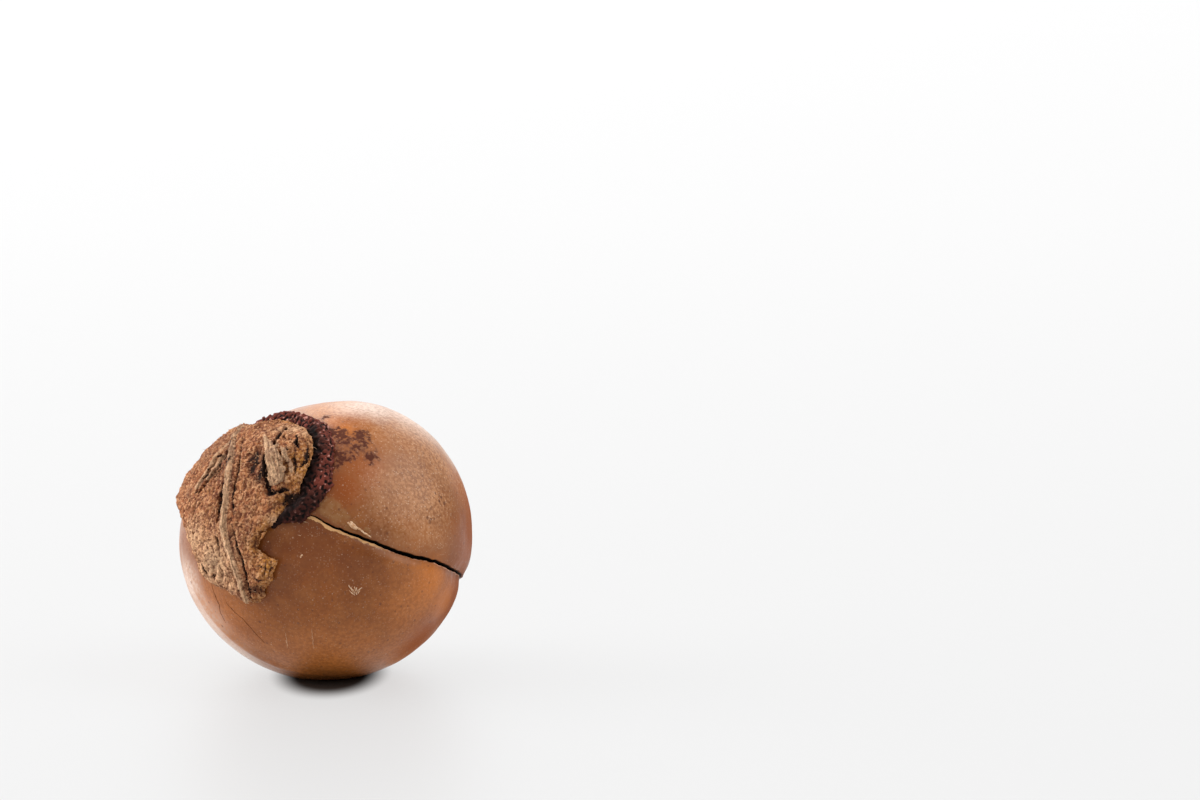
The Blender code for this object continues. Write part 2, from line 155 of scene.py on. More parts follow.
def nut_form():
    """Swells a plain ball, and what is laid on it, into the lopsided nut, and sets it down on its flat spot."""
    tree, given, result = new_tree(
        "nut_form",
        "GeometryNodeTree",
        {
            "Ball": "Geometry",
            "Seat Height": SEAT_HEIGHT * MM,
            "Wave Height": WAVE_HEIGHT * MM,
            "Waves": WAVES_ROUND_THE_NUT,
            "Finish": "Material",
        },
        {"Nut": "Geometry"},
    )
    out = put(tree, "GeometryNodeInputPosition").vector("NORMALIZE")
    growth = (uneven(out, given["Waves"], detail=0.0) - 0.5) * given["Wave Height"]
    for middle, height, spread in SWELLS:
        angle = out.vector("DOT_PRODUCT", way(*middle)).calc("ARCCOSINE")
        square = (angle / math.radians(spread)).calc("POWER", 2.0)
        growth = (square * -1.0).calc("EXPONENT") * (height * MM) + growth
    raised = out.vector("MULTIPLY", put(tree, "ShaderNodeCombineXYZ", growth, growth, growth))
    lifted = raised.vector("ADD", put(tree, "ShaderNodeCombineXYZ", 0.0, 0.0, given["Seat Height"]))
    grown = put(tree, "GeometryNodeSetPosition", given["Ball"], None, None, lifted)
    x, y, z = put(tree, "GeometryNodeInputPosition").parts()
    seated = put(tree, "ShaderNodeCombineXYZ", x, y, z.calc("SMOOTH_MAX", 0.0, SEAT_EDGE * MM))
    lying = put(tree, "GeometryNodeSetPosition", grown, None, seated)
    smooth = put(tree, "GeometryNodeSetShadeSmooth", lying)
    put(tree, "GeometryNodeSetMaterial", smooth, None, given["Finish"]).to(result[0])
    return tree


def shaped(name, mesh, *steps):
    """Runs a mesh through geometry trees with their values, or fuses it with a voxel size, into a plain object."""
    raw = bpy.data.objects.new(f"{name}_raw", mesh)
    bpy.context.scene.collection.objects.link(raw)
    for step in steps:
        if isinstance(step, float):
            modifier = raw.modifiers.new("fuse", "REMESH")
            modifier.mode = "VOXEL"
            modifier.voxel_size = step
            continue
        tree, values = step
        modifier = raw.modifiers.new("shape", "NODES")
        modifier.node_group = tree
        for item in tree.interface.items_tree:
            if item.in_out == "INPUT" and item.name in values:
                modifier[item.identifier] = values[item.name]
    bpy.context.view_layer.update()
    worked = raw.evaluated_get(bpy.context.evaluated_depsgraph_get())
    done = bpy.data.objects.new(name, bpy.data.meshes.new_from_object(worked))
    done.data.name = name
    bpy.context.scene.collection.objects.link(done)
    bpy.data.objects.remove(raw)
    bpy.data.meshes.remove(mesh)
    return done


NUT_FORM = nut_form()

# The crack: longitude round the suture in degrees, how far it strays above the suture, and how wide it gapes.
SUTURE_NORMAL = (136.0, 66.5)
CRACK = np.array((
    (-15.0, 0.56, 0.00),
    (-13.0, 0.52, 0.05),
    (-6.0, 0.37, 0.13),
    (0.0, 0.06, 0.20),
    (8.0, -0.12, 0.25),
    (18.0, -0.18, 0.30),
    (29.0, -0.33, 0.38),
    (36.0, -0.24, 0.40),
    (43.0, -0.07, 0.38),
    (50.0, 0.16, 0.33),
    (53.0, 0.10, 0.33),
    (60.0, 0.17, 0.30),
    (67.0, 0.21, 0.26),
    (74.0, 0.28, 0.22),
    (80.0, 0.36, 0.18),
    (87.0, 0.42, 0.15),
    (98.0, 0.32, 0.10),
    (114.0, 0.15, 0.05),
    (117.0, 0.13, 0.00),
))
CRACK_DEPTH = 2.6
# How jagged it is, how uneven its width, and how wide it gapes where it is fully jagged and fully deep.
CRACK_JAG = 0.085
JAGS_PER_DEGREE, JAG_PLACE = 0.45, (0.3, 0.7)
RAGS_PER_DEGREE, RAG_PLACE = 0.765, (9.1, 2.2)
RAGGED_WIDTH = 0.22
JAGGED_FROM = 0.10
DEEP_FROM = 0.12
# The groove's wall, from the lip in: share of the depth, and share of the width left open.
WALL = ((0.02, 0.94), (0.06, 0.82), (0.2, 0.72), (0.55, 0.6), (1.0, 0.35))
LIP_DIP = 0.32
LIP_REACH = 0.85
NOTCH_DIP = 0.26
NOTCH_REACH = 1.2
NOTCH_LONGITUDE = 88
NOTCH_SPREAD = 20
STEP_UP = 0.16
STEP_REACH = 3.0
STEP_LONGITUDE = 78
STEP_SPREAD = 34
STEP_FADE = (90, 117)
RIDGE_NORMAL = (16.9, 29.6)
RIDGE_MIDDLE = (-52, -38)
RIDGE_LENGTH = 34
RIDGE_HEIGHT = 0.20
RIDGE_HALF_WIDTH = 0.50
DENTS = ((7.0, 0.030), (17.0, 0.010), (45.0, 0.0035))
# The broken edge along the lower lip, which shows the tan wood: longitudes, width and how far it is sunk.
CHIP = (-10.0, 23.0)
CHIP_WIDTH = 0.20
CHIP_DEPTH = 0.07
CHIP_ROUGHNESS = 0.8
# The mesh: columns are closer together where the crack is, and rows near its lips.
FINE_COLUMNS = (-18.0, 119.0, 0.62)
COARSE_COLUMN = 1.35
LIP_ROWS = (0.0, 0.03, 0.07, 0.12, 0.18, 0.25, 0.33, 0.43, 0.55, 0.7, 0.86)
ROW_STEP = 0.205
LAST_ROW = 20.2
DRIFT_FADE = 4.0
POLE_GAP = 30
SAME_PLACE = 1e-6

SUTURE_UP = np.array(way(*SUTURE_NORMAL))
SUTURE_FRONT = np.array((0.0, -1.0, 0.0)) - SUTURE_UP * -SUTURE_UP[1]
SUTURE_FRONT /= np.linalg.norm(SUTURE_FRONT)
SUTURE_RIGHT = np.cross(SUTURE_FRONT, -SUTURE_UP)

MAP_MIDDLE = (-31.4, 24.1)
MAP_OUT = np.array(way(*MAP_MIDDLE))
MAP_RIGHT = np.cross((0, 0, 1), MAP_OUT)
MAP_RIGHT /= np.linalg.norm(MAP_RIGHT)
MAP_UP = np.cross(MAP_OUT, MAP_RIGHT)


def bell(distance, spread):
    """1 at no distance, and less further off."""
    return np.exp(-((distance / spread) ** 2))


def on_ball(points):
    """Bends points of the flat map, in millimetres, onto the plain ball, in metres."""
    reach = np.linalg.norm(points[:, :2], axis=1)[:, None]
    side = (points[:, :1] * MAP_RIGHT + points[:, 1:2] * MAP_UP) / np.maximum(reach, SAME_PLACE)
    out = np.cos(reach / NUT_RADIUS) * MAP_OUT + np.sin(reach / NUT_RADIUS) * side
    return out * (NUT_RADIUS + points[:, 2:3]) * MM


def dented(out):
    """The low, uneven relief of the shell's skin, for ways out from the nut's middle."""
    spots = np.asarray(out).reshape(-1, 3)
    return sum(size * np.array([noise.noise(Vector(spot) * pitch) for spot in spots]) for pitch, size in DENTS)


def jagged(turned, pitch, place):
    """Smooth noise along the crack, with so many bumps to the degree."""
    return np.array([noise.noise(Vector((x * pitch, *place))) for x in turned])


def lip_relief(turned, side, off, width, jag, ragged):
    """How far the skin stands out round the crack, by the longitude, the side and the distance off the lip."""
    gap = side * (width / 2 + off)
    smooth_width = np.interp(turned, CRACK[:, 0], CRACK[:, 2])
    relief = -LIP_DIP * smooth_width / CRACK[:, 2].max() * bell(gap, LIP_REACH)
    relief -= NOTCH_DIP * bell(turned - NOTCH_LONGITUDE, NOTCH_SPREAD) * bell(gap, NOTCH_REACH)
    fade = 1 - np.clip((turned - STEP_FADE[0]) / (STEP_FADE[1] - STEP_FADE[0]), 0, 1)
    relief += side * STEP_UP * bell(turned - STEP_LONGITUDE, STEP_SPREAD) * np.exp(-off / STEP_REACH) * fade
    chipped = (side < 0) & (off < CHIP_WIDTH * (1 + ragged)) & (turned > CHIP[0]) & (turned < CHIP[1])
    return relief - CHIP_DEPTH * chipped * (1 + CHIP_ROUGHNESS * jag)


def ball_mesh():
    """The shell as a plain ball, ready to be swelled: its rows run round the suture and down into the crack."""
    fine_start, fine_end, fine_step = FINE_COLUMNS
    fine = np.arange(fine_start, fine_end, fine_step)
    coarse = np.linspace(fine_end, fine_start + 360, round((360 + fine_start - fine_end) / COARSE_COLUMN), False)
    longitude = np.concatenate((fine, coarse))
    turned = (longitude + 180) % 360 - 180
    jag = jagged(turned, JAGS_PER_DEGREE, JAG_PLACE)
    ragged = jagged(turned, RAGS_PER_DEGREE, RAG_PLACE)
    width = np.interp(turned, CRACK[:, 0], CRACK[:, 2]) * (1 + RAGGED_WIDTH * ragged)
    drift = np.interp(turned, CRACK[:, 0], CRACK[:, 1]) + CRACK_JAG * jag * np.minimum(1, width / JAGGED_FROM)
    away = list(LIP_ROWS) + list(np.arange(LIP_ROWS[-1] + ROW_STEP, LAST_ROW, ROW_STEP))
    rows = [(1, s, 0.0, 1.0) for s in reversed(away)] + [(1, 0.0, *step) for step in WALL]
    rows += [(-1, 0.0, *step) for step in reversed(WALL)] + [(-1, s, 0.0, 1.0) for s in away]
    side, off, deep, share = (np.array(column)[:, None] for column in zip(*rows))
    height = drift * np.exp(-off / DRIFT_FADE) + side * (width / 2 * share + off)
    depth = CRACK_DEPTH * deep * np.minimum(1, width / DEEP_FROM)
    gap = side * (width / 2 + off)
    relief = lip_relief(turned, side, off, width, jag, ragged)
    lat, lon = height / NUT_RADIUS, np.radians(turned) + 0 * height
    out = np.cos(lat)[..., None] * (
        np.cos(lon)[..., None] * SUTURE_FRONT + np.sin(lon)[..., None] * SUTURE_RIGHT
    ) + np.sin(lat)[..., None] * SUTURE_UP
    across = NUT_RADIUS * np.arcsin(np.clip(out @ np.array(way(*RIDGE_NORMAL)), -1, 1))
    along = np.degrees(np.arccos(np.clip(out @ np.array(way(*RIDGE_MIDDLE)), -1, 1)))
    relief += RIDGE_HEIGHT * bell(across, RIDGE_HALF_WIDTH) * bell(along, RIDGE_LENGTH)
    relief += dented(out).reshape(relief.shape)
    places = (out * (NUT_RADIUS + relief - depth)[..., None]).reshape(-1, 3) * MM
    poles = np.array([SUTURE_UP, -SUTURE_UP]) * NUT_RADIUS * MM
    count, wide = len(rows), len(turned)
    i, j = np.meshgrid(np.arange(count - 1), np.arange(wide), indexing="ij")
    k = (j + 1) % wide
    quads = np.stack((i * wide + j, (i + 1) * wide + j, (i + 1) * wide + k, i * wide + k), -1).reshape(-1, 4)
    top, bottom = count * wide, count * wide + 1
    caps = [(top, c, (c + 1) % wide) for c in range(wide)]
    last = (count - 1) * wide
    caps += [(bottom, last + (c + 1) % wide, last + c) for c in range(wide)]
    mesh = bpy.data.meshes.new("ball")
    mesh.from_pydata(np.concatenate((places, poles)).tolist(), [], quads.tolist() + caps)
    suture = np.stack((turned + 0 * gap, gap * (deep == 0), deep + 0 * gap), -1).reshape(-1, 3)
    suture = np.concatenate((suture, ((0, POLE_GAP, 0), (0, -POLE_GAP, 0))))
    mesh.attributes.new("suture", "FLOAT_VECTOR", "POINT").data.foreach_set("vector", suture.ravel())
    edit = bmesh.new()
    edit.from_mesh(mesh)
    bmesh.ops.remove_doubles(edit, verts=edit.verts, dist=SAME_PLACE)
    bmesh.ops.recalc_face_normals(edit, faces=edit.faces)
    edit.to_mesh(mesh)
    edit.free()
    return mesh


def linear(*colour):
    """A colour as the eye names it, 0 to 255, turned into the shader's linear values."""
    shares = [part / 255 for part in colour]
    return tuple(part / 12.92 if part <= 0.04045 else ((part + 0.055) / 1.055) ** 2.4 for part in shares) + (1.0,)


def mix(share, low, high):
    """One colour blended into another by a share."""
    made = wire(share.tree, "ShaderNodeMix", data_type="RGBA")
    feed((made.inputs[0], made.inputs[6], made.inputs[7]), (share, low, high))
    return Value(share.tree, made.outputs[2])


def painted(colour, paint, mask, most=1.0):
    """A colour with a paint laid over it where a mask shows, up to a share."""
    return mix(mask if most == 1.0 else mask * most, colour, paint)


def cloud_group():
    """A soft cloud pattern, spread out to run from 0 to 1."""
    tree, given, result = new_tree(
        "cloud",
        "ShaderNodeTree",
        {"Vector": "Vector", "Scale": 300.0, "Detail": 3.0, "Contrast": 0.2},
        {"Mask": "Float"},
    )
    pattern = uneven(given["Vector"], given["Scale"], given["Detail"], roughness=0.55)
    pattern.rise(0.5 - given["Contrast"], given["Contrast"] + 0.5).to(result[0])
    return tree


def blot_group():
    """A patch round a place on the nut, with a ragged edge."""
    tree, given, result = new_tree(
        "blot",
        "ShaderNodeTree",
        {
            "Vector": "Vector",
            "Middle": "Vector",
            "Reach": 0.004,
            "Softness": 0.5,
            "Raggedness": 0.5,
            "Grain": 900.0,
        },
        {"Mask": "Float"},
    )
    away = given["Vector"].vector("DISTANCE", given["Middle"]) / given["Reach"]
    push = (uneven(given["Vector"], given["Grain"], detail=4.0, roughness=0.6) - 0.5) * given["Raggedness"]
    (away + push).rise(1.0 - given["Softness"], 1.0, 1.0, 0.0).to(result[0])
    return tree


def speck_group():
    """Scattered specks: Amount of the cells of a grid each hold one, of about Size of the cell."""
    tree, given, result = new_tree(
        "specks",
        "ShaderNodeTree",
        {"Vector": "Vector", "Scale": 2500.0, "Size": 0.25, "Amount": 0.3},
        {"Mask": "Float"},
    )
    cells = wire(tree, "ShaderNodeTexVoronoi", given["Vector"], None, given["Scale"])
    away, shade = (Value(tree, cells.outputs[name]) for name in ("Distance", "Color"))
    chance, growth, _ = shade.parts()
    size = given["Size"] * (growth + 0.5)
    (away.rise(size * 0.55, size, 1.0, 0.0) * chance.calc("LESS_THAN", given["Amount"])).to(result[0])
    return tree


CLOUD = cloud_group()
BLOT = blot_group()
SPECKS = speck_group()


def masked(group, spot, **values):
    """What a pattern group gives at a spot, with its inputs set by name."""
    made = wire(spot.tree, "ShaderNodeGroup", node_tree=group)
    feed([made.inputs[0]] + [made.inputs[name.title()] for name in values], (spot, *values.values()))
    return Value(spot.tree, made.outputs[0])


def finish(name, roughness, specular=0.5, coat=0.0, coat_roughness=0.1):
    """A new material with its shader, and the places on the piece that its patterns read."""
    made = bpy.data.materials.new(name)
    made.use_nodes = True
    shader = made.node_tree.nodes["Principled BSDF"]
    shader.inputs["Roughness"].default_value = roughness
    shader.inputs["Specular IOR Level"].default_value = specular
    shader.inputs["Coat Weight"].default_value = coat
    shader.inputs["Coat Roughness"].default_value = coat_roughness
    return made, shader, Value(made.node_tree, made.node_tree.nodes.new("ShaderNodeTexCoord").outputs["Object"])


def stored(tree, name, kind="Vector"):
    """A vector that the mesh stores at its points, or with the kind Fac a number."""
    return Value(tree, wire(tree, "ShaderNodeAttribute", attribute_name=name).outputs[kind])


def bumpy(shader, height, strength, distance):
    """Gives a shader's skin a relief."""
    bump = wire(height.tree, "ShaderNodeBump")
    feed([bump.inputs[name] for name in ("Strength", "Distance", "Height")], (strength, distance, height))
    Value(height.tree, bump.outputs[0]).to(shader.inputs["Normal"])


def on_shell(*rows):
    """Patches of the shell's skin, each given by its azimuth and elevation in degrees and its reach."""
    return tuple((SEAT_MIDDLE + way(azimuth, elevation) * NUT_RADIUS * MM, reach) for azimuth, elevation, reach in rows)


def on_map(*rows):
    """Patches of the shell's skin, each given by a and b, in millimetres to the right and up on a map unrolled over
    the scar, and by its reach."""
    return tuple((SEAT_MIDDLE + Vector(on_ball(np.array([(a, b, 0.0)]))[0]), reach) for a, b, reach in rows)


SEAT_MIDDLE = Vector((0, 0, SEAT_HEIGHT * MM))
SHELL_DEEP = linear(110, 55, 16)
SHELL_BROWN = linear(158, 86, 24)
SHELL_DULL = linear(152, 96, 50)
SHELL_ORANGE = linear(146, 70, 8)
SHELL_PAINTED_LIGHT = linear(198, 120, 58)
SHELL_BLOOM_AND_SHEEN = linear(206, 148, 102)
SHELL_SHEEN_HAZE = linear(238, 214, 198)
SHELL_BARE = linear(150, 104, 64)
SHELL_AMBER = linear(204, 116, 34)
SHELL_UMBER = linear(112, 54, 14)
SHELL_STAIN = linear(70, 22, 8)
CHIP_TAN = linear(214, 166, 112)
LIP_PINK = linear(206, 150, 118)
FRECKLE = linear(88, 46, 28)
DUST = linear(224, 196, 168)
CRACK_SHADOW = linear(16, 9, 6)
# The patches of each colour, and of skin that is worn dull or speckled: a place, and a reach in millimetres.
ORANGE_PATCHES = on_map((9.4, 5.4, 3.2), (8.6, 3.2, 3.0)) + on_shell(
    (84, 22, 4.0), (10, 66, 5.0), (82, 0, 6.5), (88, 16, 5.0), (74, -22, 6.0), (60, -38, 5.0)
)
# Painted sheen: a whitish haze on the upper right and down the left rim, where the shell catches the lamps and the
# bright room.
SHEEN_HAZE_PATCHES = on_shell(
    (75, 72, 4.5), (94, 54, 5.5), (104, 36, 5.0), (-70, -14, 4.0), (-66, -30, 5.0), (-62, -46, 5.0)
)
AMBER_PATCHES = on_map((19.0, -4.0, 3.2), (21.9, -6.5, 2.6), (5.4, 9.6, 1.8), (3.6, 11.0, 1.6))
UMBER_PATCHES = on_map((6.6, -4.4, 4.4), (10.5, -4.6, 3.6)) + on_shell((60, 2, 3.5))
# Painted light: lighter skin low on the nut and on its lower sides, for the light from the glowing table and the side
# lamps.
PAINTED_LIGHT_PATCHES = on_shell((4, -46, 9.5), (4, -66, 5.0), (44, -12, 7.0), (55, -45, 8.0), (-60, -30, 7.0))
# Dusty bloom, and partly painted sheen where the top and the rims catch the light.
BLOOM_AND_SHEEN_PATCHES = on_shell(
    (46, 24, 7.5), (78, 50, 10.5), (73, 36, 5.0), (30, 84, 6.5), (-92, -18, 7.0), (150, 20, 9.0)
)
STAIN_PATCHES = on_map(
    (5.4, 8.9, 1.9), (6.6, 8.0, 1.7), (7.6, 9.6, 1.5), (8.2, 7.8, 2.0), (9.3, 7.3, 1.5), (7.2, 6.4, 1.7),
    (6.7, 5.1, 1.4), (-1.6, 11.6, 2.4), (2.2, 11.2, 1.8),
)
BARE_PATCHES = on_map((7.5, 0.7, 1.25), (8.7, 0.1, 1.0), (9.9, -0.6, 0.85), (11.2, -0.9, 0.7))
WORN_PATCHES = on_shell((90, 10, 8.5), (80, -24, 7.5), (62, -44, 6.5), (30, 58, 5.0))
SPECKLED_PATCHES = on_shell((57, 20.5, 1.9), (50.7, 16.6, 1.3))
# Where the colours of the lips start and end, by the longitude round the suture in degrees, by the distance above the
# crack in millimetres, or by the depth in it, which is 1 at the bottom.
ABOVE_CRACK = (0.05, 0.2)
SHADED_LIP = (0.15, 0.75)
LIP_EDGE = (-0.02, 0.06)
PINK_START = (-22.0, -14.0)
PINK_GROWS = (24.0, 60.0, 0.55, 0.85)
PINK_END = (92.0, 115.0)
CHIP_EDGE = (-0.02, 0.04)
CHIP_START = (-13.0, -9.0)
CHIP_END = (17.0, 27.0)
IN_CRACK = (0.015, 0.1)
STAIN_EDGE = (0.10, 0.5)
SHELL_COAT = 0.1


def patches(spot, places, **edge):
    """The strongest of several patches of the shell's skin."""
    strongest = None
    for middle, reach in places:
        mask = masked(BLOT, spot, middle=middle, reach=reach * MM, **edge)
        strongest = strongest.calc("MAXIMUM", mask) if strongest else mask
    return strongest


def shell_finish():
    made, shader, spot = finish("polished_nutshell", roughness=0.34, specular=0.28, coat=SHELL_COAT, coat_roughness=0.2)
    longitude, gap, wall = stored(spot.tree, "suture").parts()
    fine = masked(CLOUD, spot, scale=3400.0, detail=4.0, contrast=0.12)
    bloom_and_sheen = patches(spot, BLOOM_AND_SHEEN_PATCHES, softness=0.9, raggedness=0.5, grain=260.0)

    # The skin's own browns, and what lies on it
    colour = mix(masked(CLOUD, spot, scale=150.0, detail=4.0, contrast=0.22), SHELL_DEEP, SHELL_BROWN)
    colour = painted(colour, SHELL_DULL, masked(CLOUD, spot, scale=620.0, detail=5.0, contrast=0.2), most=0.45)
    # Painted light, low on the nut and on its lower sides.
    light = patches(spot, PAINTED_LIGHT_PATCHES, softness=0.95, raggedness=0.5, grain=260.0)
    colour = painted(colour, SHELL_PAINTED_LIGHT, light, most=0.7)
    colour = painted(colour, SHELL_DEEP, masked(CLOUD, spot, scale=3400.0, detail=5.0, contrast=0.14), most=0.38)
    orange = patches(spot, ORANGE_PATCHES, softness=0.85, raggedness=0.5, grain=220.0)
    colour = painted(colour, SHELL_ORANGE, orange, most=0.85)
    umber = patches(spot, UMBER_PATCHES, softness=0.95, raggedness=0.6, grain=300.0)
    colour = painted(colour, SHELL_UMBER, umber, most=0.6)
    amber = patches(spot, AMBER_PATCHES, softness=0.9, raggedness=0.9, grain=420.0)
    colour = painted(colour, SHELL_AMBER, amber, most=0.55)
    # Dusty bloom, partly painted sheen.
    colour = painted(colour, SHELL_BLOOM_AND_SHEEN, bloom_and_sheen * (fine * 0.5 + 0.25))
    # Painted sheen, speckled with fine pale dust.
    sheen_haze = patches(spot, SHEEN_HAZE_PATCHES, softness=0.95, raggedness=0.6, grain=320.0)
    colour = painted(colour, SHELL_SHEEN_HAZE, sheen_haze * (fine * 0.4 + 0.4))
    bare = patches(spot, BARE_PATCHES, softness=0.4, raggedness=1.1, grain=900.0) * gap.rise(*ABOVE_CRACK)
    flaked = masked(CLOUD, spot, scale=2100.0, detail=4.0, contrast=0.12) * 0.5 + 0.4
    colour = painted(colour, SHELL_BARE, bare * flaked)
    colour = painted(colour, FRECKLE, masked(SPECKS, spot, scale=1700.0, size=0.20, amount=0.30), most=0.5)
    dust = masked(SPECKS, spot, scale=2300.0, size=0.15, amount=0.2) * 0.3
    powder = masked(SPECKS, spot, scale=6400.0, size=0.36, amount=0.4) * (bloom_and_sheen * 0.35 + 0.12)
    colour = painted(colour, DUST, dust.calc("MAXIMUM", powder))
    speckled = patches(spot, SPECKLED_PATCHES, softness=0.8, raggedness=0.9, grain=700.0)
    clustered = speckled * masked(SPECKS, spot, scale=2600.0, size=0.42, amount=0.5)
    colour = painted(colour, SHELL_STAIN, clustered, most=0.8)
    blotched = masked(CLOUD, spot, scale=900.0, detail=6.0, contrast=0.14)
    blotched = blotched * masked(CLOUD, spot, scale=3000.0, detail=4.0, contrast=0.2) + 0.22
    stain = patches(spot, STAIN_PATCHES, softness=0.9, raggedness=1.0, grain=700.0)
    stain = (stain * blotched).rise(*STAIN_EDGE)
    colour = painted(colour, SHELL_STAIN, stain, most=0.9)

    # The lips of the crack: painted shade close by, rubbed pink below, chipped to the tan wood, and painted black shade
    # inside
    colour = painted(colour, SHELL_DEEP, gap.calc("ABSOLUTE").rise(*SHADED_LIP, 1.0, 0.0), most=0.3)
    ragged = uneven(spot, scale=1500.0, detail=4.0, roughness=0.6)
    below = gap.calc("LESS_THAN", 0.0)
    pink = below * (ragged * 0.35 + (gap + 0.04)).rise(*LIP_EDGE)
    pink = pink * longitude.rise(*PINK_GROWS) * longitude.rise(*PINK_START) * longitude.rise(*PINK_END, 1.0, 0.0)
    colour = painted(colour, LIP_PINK, pink)
    chip = below * (ragged * 0.7 + gap).rise(*CHIP_EDGE)
    chip = chip * longitude.rise(*CHIP_START) * longitude.rise(*CHIP_END, 1.0, 0.0)
    colour = painted(colour, CHIP_TAN, chip, most=0.85)
    # Painted shade: near-black down the crack's walls.
    inside = wall.rise(*IN_CRACK)
    painted(colour, CRACK_SHADOW, inside).to(shader.inputs["Base Color"])

    # The shine, and the relief of the skin
    matt = bare.calc("MAXIMUM", chip).calc("MAXIMUM", stain).calc("MAXIMUM", inside)
    worn = patches(spot, WORN_PATCHES, softness=0.95, raggedness=0.5, grain=260.0)
    satin = fine * 0.10 + (bloom_and_sheen * 0.12 + 0.28)
    satin.calc("MAXIMUM", matt * 0.8).calc("MAXIMUM", worn * 0.85).to(shader.inputs["Roughness"])
    shine = (1.0 - matt).calc("MINIMUM", worn * -0.85 + 1.0)
    (shine * SHELL_COAT).to(shader.inputs["Coat Weight"])
    pores = masked(SPECKS, spot, scale=2400.0, size=0.22, amount=0.3) * -0.6
    relief = uneven(spot, scale=2200.0, detail=5.0, roughness=0.6) + pores + (stain + bare) * 1.6
    bumpy(shader, relief, strength=0.35, distance=0.00003)
    return made


shell = shaped("nutshell", ball_mesh(), (NUT_FORM, {"Finish": shell_finish()}))
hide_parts("nut_shell")
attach(shell, "root")

# The husk lining
# A dark crescent of the husk's inner lining, left on the shell beside and above the scrap when the rest was torn
# off. It is a thin, dry, grainy crust with a raised rim towards its outer edge, and it grew onto the shell.
SCRAP_OUTLINE = (
    (1.7, -3.9), (2.1, -3.0), (2.6, -2.2), (3.2, -1.6), (3.5, -0.9), (4.2, -0.1), (4.9, 0.9), (4.7, 2.1),
    (4.8, 3.3), (4.7, 4.5), (4.5, 5.5), (3.9, 6.7), (3.1, 7.7), (1.9, 8.5), (0.7, 9.0), (-0.7, 9.3),
    (-2.0, 9.2), (-3.4, 8.9), (-5.4, 9.2), (-7.4, 9.8), (-9.4, 9.3), (-11.2, 8.0), (-12.6, 6.2), (-13.2, 4.2),
    (-13.4, 2.4), (-12.6, 0.8), (-11.4, -0.2), (-9.8, -0.8), (-8.2, -1.9), (-7.0, -2.9), (-5.9, -4.2),
    (-5.2, -5.4), (-4.7, -6.3), (-3.8, -7.1), (-2.9, -7.5), (-1.7, -7.8), (-0.6, -8.1), (0.1, -8.6), (0.7, -9.0),
    (1.1, -8.6), (2.0, -8.6), (2.6, -8.1), (2.6, -7.4), (2.9, -6.9), (3.4, -6.4), (3.6, -5.6), (3.9, -4.7),
    (3.0, -4.6), (2.5, -4.3),
)
LINING_EDGE = (
    (2.9, -1.9), (3.8, -1.55), (4.6, -1.35), (5.3, -1.1), (5.9, -0.6), (6.5, 0.5), (6.9, 1.6), (7.1, 2.9),
    (6.8, 4.3), (6.4, 5.8), (5.7, 7.3), (4.8, 8.7), (3.5, 9.8), (2.0, 10.6), (0.2, 11.1), (-1.8, 11.1),
    (-3.8, 10.5), (-5.6, 9.9),
)
LINING_INNER = (3, 19)
LINING_UNDER_SCRAP = 0.25
LINING_GAP = 0.02
LINING_THICKNESS = 0.50
LINING_THIN_EDGE = 0.35
LINING_THIN_REACH = 0.45
LINING_RIM = (0.95, 0.45, 0.34)
THICK_SPOT = ((-1.6, 10.3), 2.4, 0.32)
LINING_RAGGED = ((0.9, 0.16), (2.6, 0.11), (6.0, 0.05))
LINING_LUMPS = ((0.9, 0.10), (2.2, 0.07))
LINING_GRAIN = ((3.0, 0.08), (6.5, 0.05))
GRANULES_PER_MM2 = 11.0
GRANULE_SIZES = (0.07, 0.20)
# Painted shadow on the lining: near a stretch of the scrap's outline, black within one distance and clear past the
# other, and darker towards the low end, up to a share.
LINING_SHADED = ((2, 13), 0.35, 1.4)
LINING_LOW = (1.2, 2.8, 0.7)
OUTLINE_STEP = 0.12
VOXEL = 0.094


def resampled(route, step):
    """A route cut into even steps."""
    corners = np.array(route, float)
    along = np.concatenate(((0,), np.cumsum(np.linalg.norm(np.diff(corners, axis=0), axis=1))))
    at = np.linspace(0, along[-1], max(2, round(along[-1] / step)))
    return np.stack([np.interp(at, along, column) for column in corners.T], -1)


def noisy(spots, pitch, seed=0.0):
    """Smooth noise, about -0.7 to 0.7, with pitch bumps to the millimetre along each axis."""
    places = np.zeros((len(spots), 3))
    places[:, : spots.shape[1]] = spots * np.array(pitch)
    return np.array([noise.noise(place) for place in (places + seed).tolist()])


def rough(spots, layers, seed=0.0):
    """The sum of layers of noise, each with its pitch and height."""
    return sum(size * noisy(spots, pitch, seed + 7.3 * number) for number, (pitch, size) in enumerate(layers))


def wavered(spots, pitch, size, seed, other_seed):
    """How far spots on the map are pushed aside by noise."""
    return size * np.stack((noisy(spots, pitch, seed), noisy(spots, pitch, other_seed)), -1)


def torn(outline, layers, seed):
    """An outline on the map with a torn, uneven edge."""
    spots = resampled(tuple(outline) + tuple(outline[:1]), OUTLINE_STEP)[:-1]
    return spots + np.stack((rough(spots, layers, seed), rough(spots, layers, seed + 50)), -1)


def route_distance(spots, route):
    """How far each spot is from a route on the map, and how far along the route it is, from 0 to 1."""
    nearest, where = np.full(len(spots), np.inf), np.zeros(len(spots))
    corners = np.array(route, float)
    for number, (start, end) in enumerate(zip(corners, corners[1:])):
        step = end - start
        share = np.clip((spots - start) @ step / (step @ step), 0, 1)
        away = np.linalg.norm(spots - start - share[:, None] * step, axis=1)
        closer = away < nearest
        nearest = np.where(closer, away, nearest)
        where = np.where(closer, (number + share) / (len(corners) - 1), where)
    return nearest, where


def eased(value, low, high):
    """0 below low, 1 above high and a smooth rise in between."""
    share = np.clip((value - low) / (high - low), 0, 1)
    return share * share * (3 - 2 * share)


